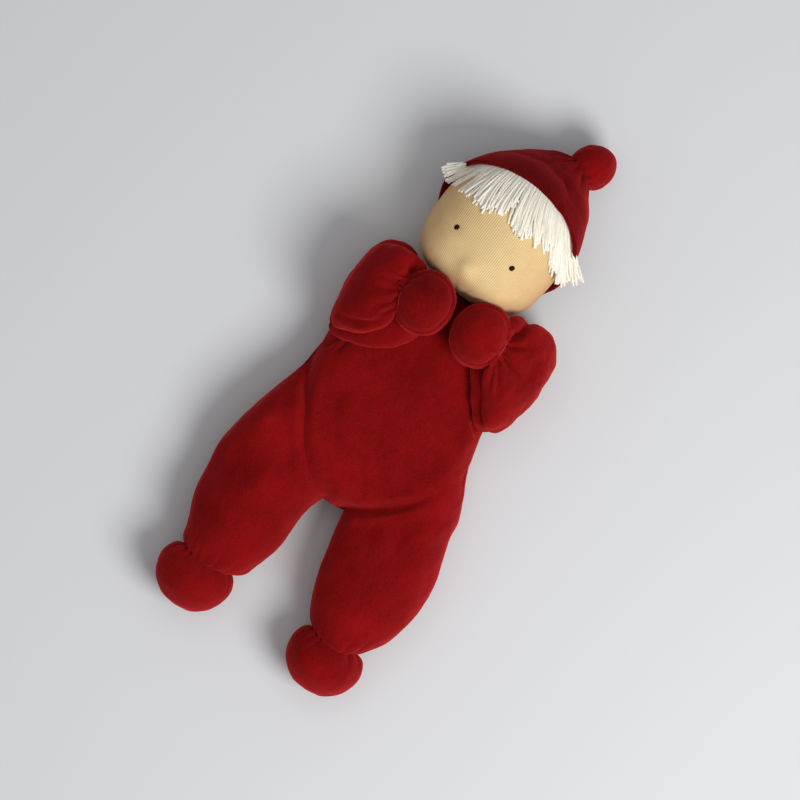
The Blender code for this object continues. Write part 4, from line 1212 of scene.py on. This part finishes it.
class DOLL_OT_legs(bpy.types.Operator):
    """Make both legs, sewn to the torso along the hip crease"""
    bl_idname = "doll.legs"
    bl_label = "Legs"

    def execute(self, context):
        for side, name in SIDES:
            stations = [(*edges, 0, bow, *form) for edges, (bow, *form) in zip(LEG_EDGES[side], LEG_FORM)]
            rings = bag_rings(stations, 180, 230, CREASES[side], CREASE_REACH_SHARE)
            rings = stuffed(rings, [CREASE_GROOVES[side]])
            rings = join_at_crease(rings, [side], False)
            tuck = rings[0] + (np.array(TUCK_HEART) * MM - rings[0]) * CREASE_TUCK_SHARE
            piece = add_skin(f"leg_{name}_velour", np.concatenate((tuck[None], rings)))
            points = points_of(piece)
            ankle = (side * FOOT_AXIS_X, FOOT_TIE_Y, FOOT_LEVEL)
            top = upper_half(points, SEAM_LEVEL, SEAM_FADE)
            amount = hills(points, BODY_HILLS) + gathers(points, ankle, UP_THE_BODY, LEG_GATHERS, side)
            for line, width in THIGH_FOLDS[side]:
                amount -= groove(points, line, width) * top
            press(piece, amount)
            rest_on_floor(piece)
            velour_finish(piece)
            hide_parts(f"leg_{name}_cover", f"leg_{name}_wool")
            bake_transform(piece)
        return {"FINISHED"}


class DOLL_OT_feet(bpy.types.Operator):
    """Make both feet, tied off at the ankles"""
    bl_idname = "doll.feet"
    bl_label = "Feet"

    def execute(self, context):
        for side, name in SIDES:
            ankle = (side * FOOT_AXIS_X, FOOT_TIE_Y, FOOT_LEVEL)
            place = Matrix.Translation(Vector(ankle) * MM) @ Matrix.Rotation(math.pi, 4, "Z")
            rings = stuffed(bag_rings(ball_stations(FOOT_PROFILE), 90, 150), **BALL_CLOTH)
            piece = add_skin(f"foot_{name}_velour", placed(rings, place))
            points = points_of(piece)
            folds = gathers(points, ankle, UP_THE_BODY, FOOT_GATHERS, side)
            press(piece, hills(points, FOOT_HILLS, side) + folds)
            rest_on_floor(piece)
            velour_finish(piece)
            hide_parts(f"foot_{name}_cover", f"foot_{name}_wool")
            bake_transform(piece)
            wound_thread(
                f"ankle_{name}_winding", "ankle", Matrix(), f"foot_{name}", f"ankle_tie_{name}")
        return {"FINISHED"}


class DOLL_OT_arms(bpy.types.Operator):
    """Make both sleeves: upper arm, folded forearm and the slack below the hand"""
    bl_idname = "doll.arms"
    bl_label = "Sleeves"

    def execute(self, context):
        torso = bpy.data.objects["torso_velour"]
        for side, name in SIDES:
            rows = [(side * a, b, side * c, d, *form) for a, b, c, d, *form in UPPER_ARM]
            upper = add_skin(f"upper_arm_{name}_velour", stuffed(bag_rings(flat_stations(rows), 80, 130)))
            press(upper, hills(points_of(upper), UPPER_ARM_HILLS, side))
            keep_off(upper, [torso], CLOTH_GAP)
            rest_on_floor(upper)
            velour_finish(upper)
            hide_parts(f"upper_arm_{name}_cover", f"upper_arm_{name}_wool")
            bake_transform(upper)

            wrist = (side * HAND_TIE_X, HAND_CENTRES_Y[side] + SLEEVE_TIE_SHIFT, HAND_LEVEL)
            rings = stuffed(bag_rings(flat_stations(FOREARMS[side]), 120, 200))
            sleeve = add_skin(f"forearm_{name}_velour", rings)
            points = points_of(sleeve)
            top = upper_half(points, SLEEVE_LEVEL, SLEEVE_FADE)
            amount = hills(points, SLEEVE_HILLS, side)
            amount += gathers(points, wrist, ACROSS_THE_BODY, SLEEVE_GATHERS, side)
            for line, width in SLEEVE_FOLDS[side]:
                amount -= groove(points, line, width, taper=0) * top
            press(sleeve, amount)
            keep_off(sleeve, [bpy.data.objects["head_jersey"]], CLOTH_GAP)
            velour_finish(sleeve)
            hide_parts(f"forearm_{name}_cover", f"forearm_{name}_wool")

            lobe = add_skin(f"sleeve_slack_{name}_velour", bag_rings(flat_stations(LOBES[side]), 80, 110))
            press(lobe, hills(points_of(lobe), LOBE_HILLS, side))
            keep_off(lobe, [torso, upper], LOBE_GAP)
            velour_finish(lobe)
            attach(sleeve, f"forearm_{name}")
            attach(lobe, f"forearm_{name}")
        return {"FINISHED"}


class DOLL_OT_hands(bpy.types.Operator):
    """Make both hands, tied off at the wrists"""
    bl_idname = "doll.hands"
    bl_label = "Hands"

    def execute(self, context):
        for side, name in SIDES:
            wrist = (side * HAND_TIE_X, HAND_CENTRES_Y[side], HAND_LEVEL)
            turn = Matrix.Rotation(side * math.pi / 2, 4, "Z")
            place = Matrix.Translation(Vector(wrist) * MM) @ turn
            rings = stuffed(bag_rings(ball_stations(HAND_PROFILE), 90, 150), **BALL_CLOTH)
            piece = add_skin(f"hand_{name}_velour", placed(rings, place))
            points = points_of(piece)
            from_seam = points[:, 2] / MM - HAND_LEVEL - HAND_SEAM_LIFT
            middle = np.array((side * HAND_MIDDLE_X, wrist[1]))
            outer = smooth(np.linalg.norm(points[:, :2] / MM - middle, axis=1) / 8 - 0.6)
            amount = hills(points, HAND_HILLS, side)
            amount += gathers(points, wrist, ACROSS_THE_BODY, HAND_GATHERS, side)
            ridge, hollow, apart, wide = HAND_SEAM_FORM
            uneven = outer * (0.75 + hills(points, HAND_SEAM_HILLS, side))
            amount += ridge * np.exp(-(from_seam / wide) ** 2) * uneven
            amount -= hollow * np.exp(-((from_seam - apart) / wide) ** 2) * uneven
            press(piece, amount)
            keep_off(piece, [bpy.data.objects["head_jersey"]], CLOTH_GAP)
            velour_finish(piece, HAND_VELOURS[side])
            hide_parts(f"hand_{name}_cover", f"hand_{name}_wool")
            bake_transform(piece)
            wound_thread(f"wrist_{name}_winding", "wrist", turn, f"hand_{name}", f"wrist_tie_{name}")

            # A bright orange-red thread along the hand's seam near the wrist, partly a painted highlight
            trees = [surface_of(piece), surface_of(bpy.data.objects[f"forearm_{name}_velour"])]
            path = []
            for x, y in along_line(SEAM_ENDS[side], np.linspace(0, 1, 24)):
                hits = [fall_on(tree, x, y) for tree in trees]
                path.append((x * MM, y * MM, max(hit.z for hit in hits if hit)))
            radii = np.full(len(path), SEAM_THREAD_RADIUS * MM)
            seam = add_tube(f"hand_{name}_seam", [path], [radii], segments=8)
            colours = context.scene.doll_colours
            red = finish_of("red_seam_thread_and_painted_highlight", spun_cotton, colours.seam, colours.velour_brushed, 0.2)
            dress(seam, red)
            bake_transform(seam)
        return {"FINISHED"}


class DOLL_OT_neck(bpy.types.Operator):
    """Make the bound neck and its tie"""
    bl_idname = "doll.neck"
    bl_label = "Neck"

    def execute(self, context):
        stations = ball_stations([(along, size, size, size) for along, size in NECK_PROFILE])
        piece = add_skin("neck_gauze", placed(bag_rings(stations, 60, 80), neck_place()))
        points = points_of(piece)
        run = points[:, 1] / MM + BINDING_SLANT * points[:, 2] / MM
        binding = BINDING_HEIGHT * np.sin(run * 2 * math.pi / BINDING_PITCH)
        press(piece, binding + hills(points, NECK_HILLS))
        dress(piece, finish_of("bound_cotton_gauze", cotton_gauze))
        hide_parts("neck_stub")
        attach(piece, "neck")
        wound_thread("neck_winding", "neck", Matrix.Rotation(HEAD_ROLL, 4, "Z"), "neck", "neck_tie")
        return {"FINISHED"}


class DOLL_OT_head(bpy.types.Operator):
    """Make the head's knitted skin"""
    bl_idname = "doll.head"
    bl_label = "Head"

    def execute(self, context):
        stations = [
            (-wide, along, wide, along, 0, 0, centre, deep, deep, HEAD_ROUNDNESS)
            for along, wide, centre, deep in HEAD_FORM]
        piece = add_skin("head_jersey", bag_rings(stations, 170, 240))
        points = points_of(piece) / MM
        *nose, nose_rise = NOSE
        cheek_x, *cheek, cheek_rise = CHEEK
        *socket, socket_depth = SOCKET
        band_lift, band_width, band_depth = EYE_BAND
        eye_x, eye_y = EYE_ROW
        form = nose_rise * swell(points, *nose)
        for side in (-1, 1):
            form += cheek_rise * swell(points, side * cheek_x, *cheek)
            form -= socket_depth * swell(points, side * eye_x + EYE_SHIFT, eye_y, *socket)
        form -= band_depth * np.exp(-((points[:, 1] - eye_y - band_lift) / band_width) ** 2)
        amount = upper_half(points * MM, FACE_LEVEL, FACE_FADE) * form
        amount += hills(points * MM, HEAD_HILLS) + gathers(points * MM, HEAD_TIE, UP_THE_BODY, HEAD_GATHERS)
        press(piece, amount)
        piece.data.transform(head_place())
        rest_on_floor(piece)
        dress(piece, finish_of("face_cotton_jersey", cotton_jersey))
        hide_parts("head_skin", "head_core")
        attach(piece, "head")
        return {"FINISHED"}


class DOLL_OT_eyes(bpy.types.Operator):
    """Embroider the eyes: satin stitches of brown thread"""
    bl_idname = "doll.eyes"
    bl_label = "Eyes"

    def execute(self, context):
        tree = surface_of(bpy.data.objects["head_jersey"])
        place = head_place()
        out = place.to_3x3() @ Vector((0, 0, 1))
        eye_x, eye_y = EYE_ROW
        half_wide, half_tall = EYE_SIZE
        colours = context.scene.doll_colours
        for side, name in SIDES:
            paths, radii = [], []
            for stitch in range(EYE_STITCHES):
                share = (stitch + 0.5) / EYE_STITCHES * 2 - 1
                reach = half_tall * math.sqrt(max(0.15, 1 - share ** 2))
                line = []
                for step in np.linspace(-1, 1, STITCH_POINTS):
                    x = side * eye_x + EYE_SHIFT + share * half_wide + STITCH_LEAN * step
                    spot = place @ (Vector((x, eye_y + step * reach, EYE_FALL_HEIGHT)) * MM)
                    hit, _, _, _ = tree.ray_cast(spot, -out)
                    lift = (STITCH_RISE * math.sqrt(max(0, 1 - step ** 2)) - STITCH_SINK) * MM
                    line.append(hit + out * lift)
                paths.append(np.array(line))
                radii.append(np.full(len(line), STITCH_RADIUS * MM))
            piece = add_tube(f"eye_{name}_stitches", paths, radii, segments=8)
            brown = finish_of("brown_eye_thread", spun_cotton, colours.eyes, linear("150A05"), 0.0)
            dress(piece, brown)
            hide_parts(f"eye_{name}")
            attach(piece, "head")
        return {"FINISHED"}


class DOLL_OT_hood(bpy.types.Operator):
    """Make the velour hood, round the head and out to its peak"""
    bl_idname = "doll.hood"
    bl_label = "Hood"

    def execute(self, context):
        stations = [
            (lean - wide, along, lean + wide, along, 0, 0, centre, deep, deep, HOOD_ROUNDNESS)
            for along, lean, wide, centre, deep in HOOD_FORM]
        piece = add_skin("hood_velour", bag_rings(stations, 150, 240))
        points = points_of(piece)
        peak = smooth((points[:, 1] / MM - PEAK_START) / PEAK_LENGTH)
        _, size, seed = HOOD_HILLS[0]
        amount = hills(points, HOOD_HILLS) + PEAK_RUMPLE * peak * lumps(points, size, seed)
        amount += gathers(points, HOOD_PEAK, POMPOM_AIM_SHARES, HOOD_GATHERS)
        for line in HOOD_CREASES:
            amount -= HOOD_CREASE_DEPTH * groove(points, line, HOOD_CREASE_WIDTH) * (points[:, 2] > 0)
        press(piece, amount)

        bm = bmesh.new()
        bm.from_mesh(piece.data)
        front, nape = np.array((0, *BRIM_FRONT)), np.array((0, *BRIM_NAPE))
        run = Vector(front - nape).normalized()
        bmesh.ops.bisect_plane(
            bm, geom=bm.verts[:] + bm.edges[:] + bm.faces[:], plane_co=Vector(nape) * MM,
            plane_no=Vector((0, -run.z, run.y)), clear_outer=True)
        bm.to_mesh(piece.data)
        brim = [vert.co.copy() for vert in ordered_loop([edge for edge in bm.edges if edge.is_boundary])]
        bm.free()
        place = head_place()
        piece.data.transform(place)
        head = bpy.data.objects["head_jersey"]
        keep_off(piece, [head], HOOD_WALL + HOOD_EASE)
        rest_on_floor(piece)
        wall = piece.modifiers.new("cloth", "SOLIDIFY")
        wall.thickness = HOOD_WALL * MM
        wall.offset = -1
        settle(piece)
        # The hood's velour is drawn darker, partly for its nap lying down and partly as painted shade
        velour_finish(piece, "crimson_cotton_velour_nap_and_painted_shade")
        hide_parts("hood")
        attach(piece, "head")

        line = np.array([place @ point for point in brim])
        run_length = np.concatenate(([0], np.cumsum(np.linalg.norm(np.diff(line, axis=0), axis=1))))
        places = np.linspace(0, 1, HEM_POINTS) * run_length[-1]
        hem = np.stack([np.interp(places, run_length, line[:, axis]) for axis in range(3)], axis=1)
        piece = add_tube("hood_hem", [hem], [np.full(len(hem), HEM_RADIUS * MM)], segments=12)
        keep_off(piece, [head], HEM_GAP)
        rest_on_floor(piece)
        velour_finish(piece, "crimson_cotton_velour_nap_and_painted_shade")
        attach(piece, "head")
        return {"FINISHED"}


class DOLL_OT_hair(bpy.types.Operator):
    """Sew the fringe of yarn strands under the hood's brim"""
    bl_idname = "doll.hair"
    bl_label = "Hair"

    def execute(self, context):
        sizes = context.scene.doll_sizes
        tree = surface_of(bpy.data.objects["head_jersey"])
        hood = surface_of(bpy.data.objects["hood_velour"])
        draw = np.random.default_rng(FRINGE_SEED)
        paths, radii = [], []
        steps = np.linspace(0, 1, FRINGE_STEPS)
        t = steps[:, None]
        for layer, lift in enumerate(FRINGE_LIFTS):
            for strand in range(sizes.strand_count):
                share = (strand + 0.5 + layer / len(FRINGE_LIFTS)) / (sizes.strand_count + 0.7)
                share = np.clip(share + draw.normal(0, ROOT_SPREAD_SHARE), 0, 1)
                clump = math.floor(share * FRINGE_CLUMPS)
                pull = 0.1 + 0.55 * math.sin(2.3 * clump) ** 2
                tip_share = share + pull * ((clump + 0.5) / FRINGE_CLUMPS - share)
                tip_share = np.clip(tip_share + draw.normal(0, TIP_SPREAD_SHARE), 0, 1)
                tables = ((FRINGE_ROOTS, share), (FRINGE_STARTS, share), (FRINGE_TIPS, tip_share))
                root, start, tip = (along_line(table, [at])[0] for table, at in tables)
                short = (root - tip) / np.linalg.norm(root - tip)
                gap = sum(up * math.exp(-((tip_share - at) / wide) ** 2) for at, wide, up in FRINGE_GAPS)
                tip = tip + draw.normal(0, TIP_SPREAD, 2)
                tip = tip + short * (abs(draw.normal(0, TIP_SHORT)) + LAYER_SHORT * layer + gap)
                middle = root + start * draw.uniform(*START_SHARES) + draw.normal(0, MIDDLE_SPREAD, 2)
                plan = (1 - t) ** 2 * root + 2 * t * (1 - t) * middle + t ** 2 * tip
                wave = draw.uniform(0, 2 * math.pi)
                level = None
                line = []
                for step, (x, y) in zip(steps, plan):
                    hit = fall_on(tree, x, y) or tree.find_nearest(Vector((x, y, 40)) * MM)[0]
                    rest = hit.z / MM + lift * (0.45 + 0.55 * min(1, 4 * step))
                    rest += 0.35 * math.sin(6 * step + wave) * step
                    below = fall_on(hood, x, y) if step > FRINGE_FREE_SHARE else None
                    if below:
                        rest = max(rest, below.z / MM + lift)
                    level = rest if level is None else max(rest, level - FRINGE_FALL)
                    line.append((x * MM, y * MM, level * MM))
                thick = sizes.strand / 2 * draw.uniform(*THICK_SHARES)
                paths.append(line)
                radii.append(thick * np.interp(steps, TAPER_PLACES, TAPER_SHARES))
        piece = add_tube("fringe_yarn", paths, radii, segments=9)
        colours = context.scene.doll_colours
        yarn = finish_of("plied_cotton_yarn", spun_cotton, colours.yarn, colours.yarn_deep, 0.4, 0.35)
        dress(piece, yarn)
        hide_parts("hair_fringe")
        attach(piece, "head")
        return {"FINISHED"}


class DOLL_OT_pompom(bpy.types.Operator):
    """Make the small velour ball at the hood's peak"""
    bl_idname = "doll.pompom"
    bl_label = "Pompom"

    def execute(self, context):
        pivot = Vector(POMPOM_PIVOT)
        aim = (head_place().to_3x3() @ Vector(POMPOM_AIM_SHARES)).normalized()
        turn = Vector((0, 1, 0)).rotation_difference(aim).to_matrix().to_4x4()
        place = Matrix.Translation(pivot) @ turn
        piece = add_skin("pompom_velour", placed(bag_rings(ball_stations(POMPOM_PROFILE), 80, 120), place))
        points = points_of(piece)
        folds = gathers(points, pivot / MM, aim, POMPOM_GATHERS, start=POMPOM_GATHER_START)
        press(piece, hills(points, POMPOM_HILLS) + folds)
        velour_finish(piece)
        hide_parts("pompom_cover", "pompom_wool")
        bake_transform(piece)
        wound_thread("pompom_winding", "pompom", turn, "pompom", "pompom_tie")
        return {"FINISHED"}


class DOLL_OT_stage(bpy.types.Operator):
    """Set the floor, the soft light and the camera"""
    bl_idname = "doll.stage"
    bl_label = "Stage"

    def execute(self, context):
        scene = context.scene
        mesh = bpy.data.meshes.new("floor")
        corners = ((-1, -1), (1, -1), (1, 1), (-1, 1))
        mesh.from_pydata([(x * FLOOR_HALF, y * FLOOR_HALF, 0) for x, y in corners], [], [(0, 1, 2, 3)])
        floor = bpy.data.objects.new("floor", mesh)
        scene.collection.objects.link(floor)
        mesh.materials.append(finish_of("background_paper", painted_paper))

        world = bpy.data.worlds.new("studio")
        scene.world = world
        world.use_nodes = True
        tree = world.node_tree
        tree.nodes.clear()
        sky = add_node(tree, "ShaderNodeBackground", None, {
            "Color": (*linear("F4F6FA"), 1), "Strength": SKY_STRENGTH})
        add_node(tree, "ShaderNodeOutputWorld", None, {"Surface": sky.outputs[0]})
        for name, ((x, y), height, size, power) in LAMPS.items():
            light = bpy.data.lights.new(name, "AREA")
            light.shape = "DISK"
            light.size = size
            light.energy = power
            lamp = bpy.data.objects.new(name, light)
            rise = math.radians(height)
            spot = Vector((x * math.cos(rise), y * math.cos(rise), math.sin(rise))) * LAMP_DISTANCE
            lamp.location = spot
            lamp.rotation_euler = (-spot).to_track_quat("-Z", "Y").to_euler()
            scene.collection.objects.link(lamp)

        lens = bpy.data.cameras.new("camera")
        lens.sensor_width = SENSOR
        lens.lens = SENSOR * (VIEW_HEIGHT - VIEW_LEVEL) / VIEW_FIELD
        camera = bpy.data.objects.new("camera", lens)
        camera.location = (0, 0, VIEW_HEIGHT)
        camera.rotation_euler = (0, 0, VIEW_TURN)
        scene.collection.objects.link(camera)
        scene.camera = camera
        scene.view_settings.view_transform = "Standard"
        return {"FINISHED"}


class DOLL_PT_pieces(bpy.types.Panel):
    """Lists the doll's pieces, sizes and colours"""
    bl_idname = "DOLL_PT_pieces"
    bl_label = "Waldorf Doll"
    bl_space_type = "VIEW_3D"
    bl_region_type = "UI"
    bl_category = "Doll"

    def draw(self, context):
        layout = self.layout
        for maker in MAKERS:
            layout.operator(maker.bl_idname)
        for group in (context.scene.doll_sizes, context.scene.doll_colours):
            box = layout.box()
            for name in group.__annotations__:
                box.prop(group, name)


MAKERS = (
    DOLL_OT_stage, DOLL_OT_torso, DOLL_OT_legs, DOLL_OT_feet, DOLL_OT_neck, DOLL_OT_head, DOLL_OT_arms,
    DOLL_OT_hands, DOLL_OT_eyes, DOLL_OT_hood, DOLL_OT_hair, DOLL_OT_pompom,
)
CLASSES = (DollSizes, DollColours, *MAKERS, DOLL_PT_pieces)


def register():
    for item in CLASSES:
        bpy.utils.register_class(item)
    bpy.types.Scene.doll_sizes = PointerProperty(type=DollSizes)
    bpy.types.Scene.doll_colours = PointerProperty(type=DollColours)


def unregister():
    del bpy.types.Scene.doll_colours
    del bpy.types.Scene.doll_sizes
    for item in reversed(CLASSES):
        bpy.utils.unregister_class(item)


def main():
    register()
    for maker in MAKERS:
        group, name = maker.bl_idname.split(".")
        getattr(getattr(bpy.ops, group), name)()


if __name__ == "__main__":
    main()
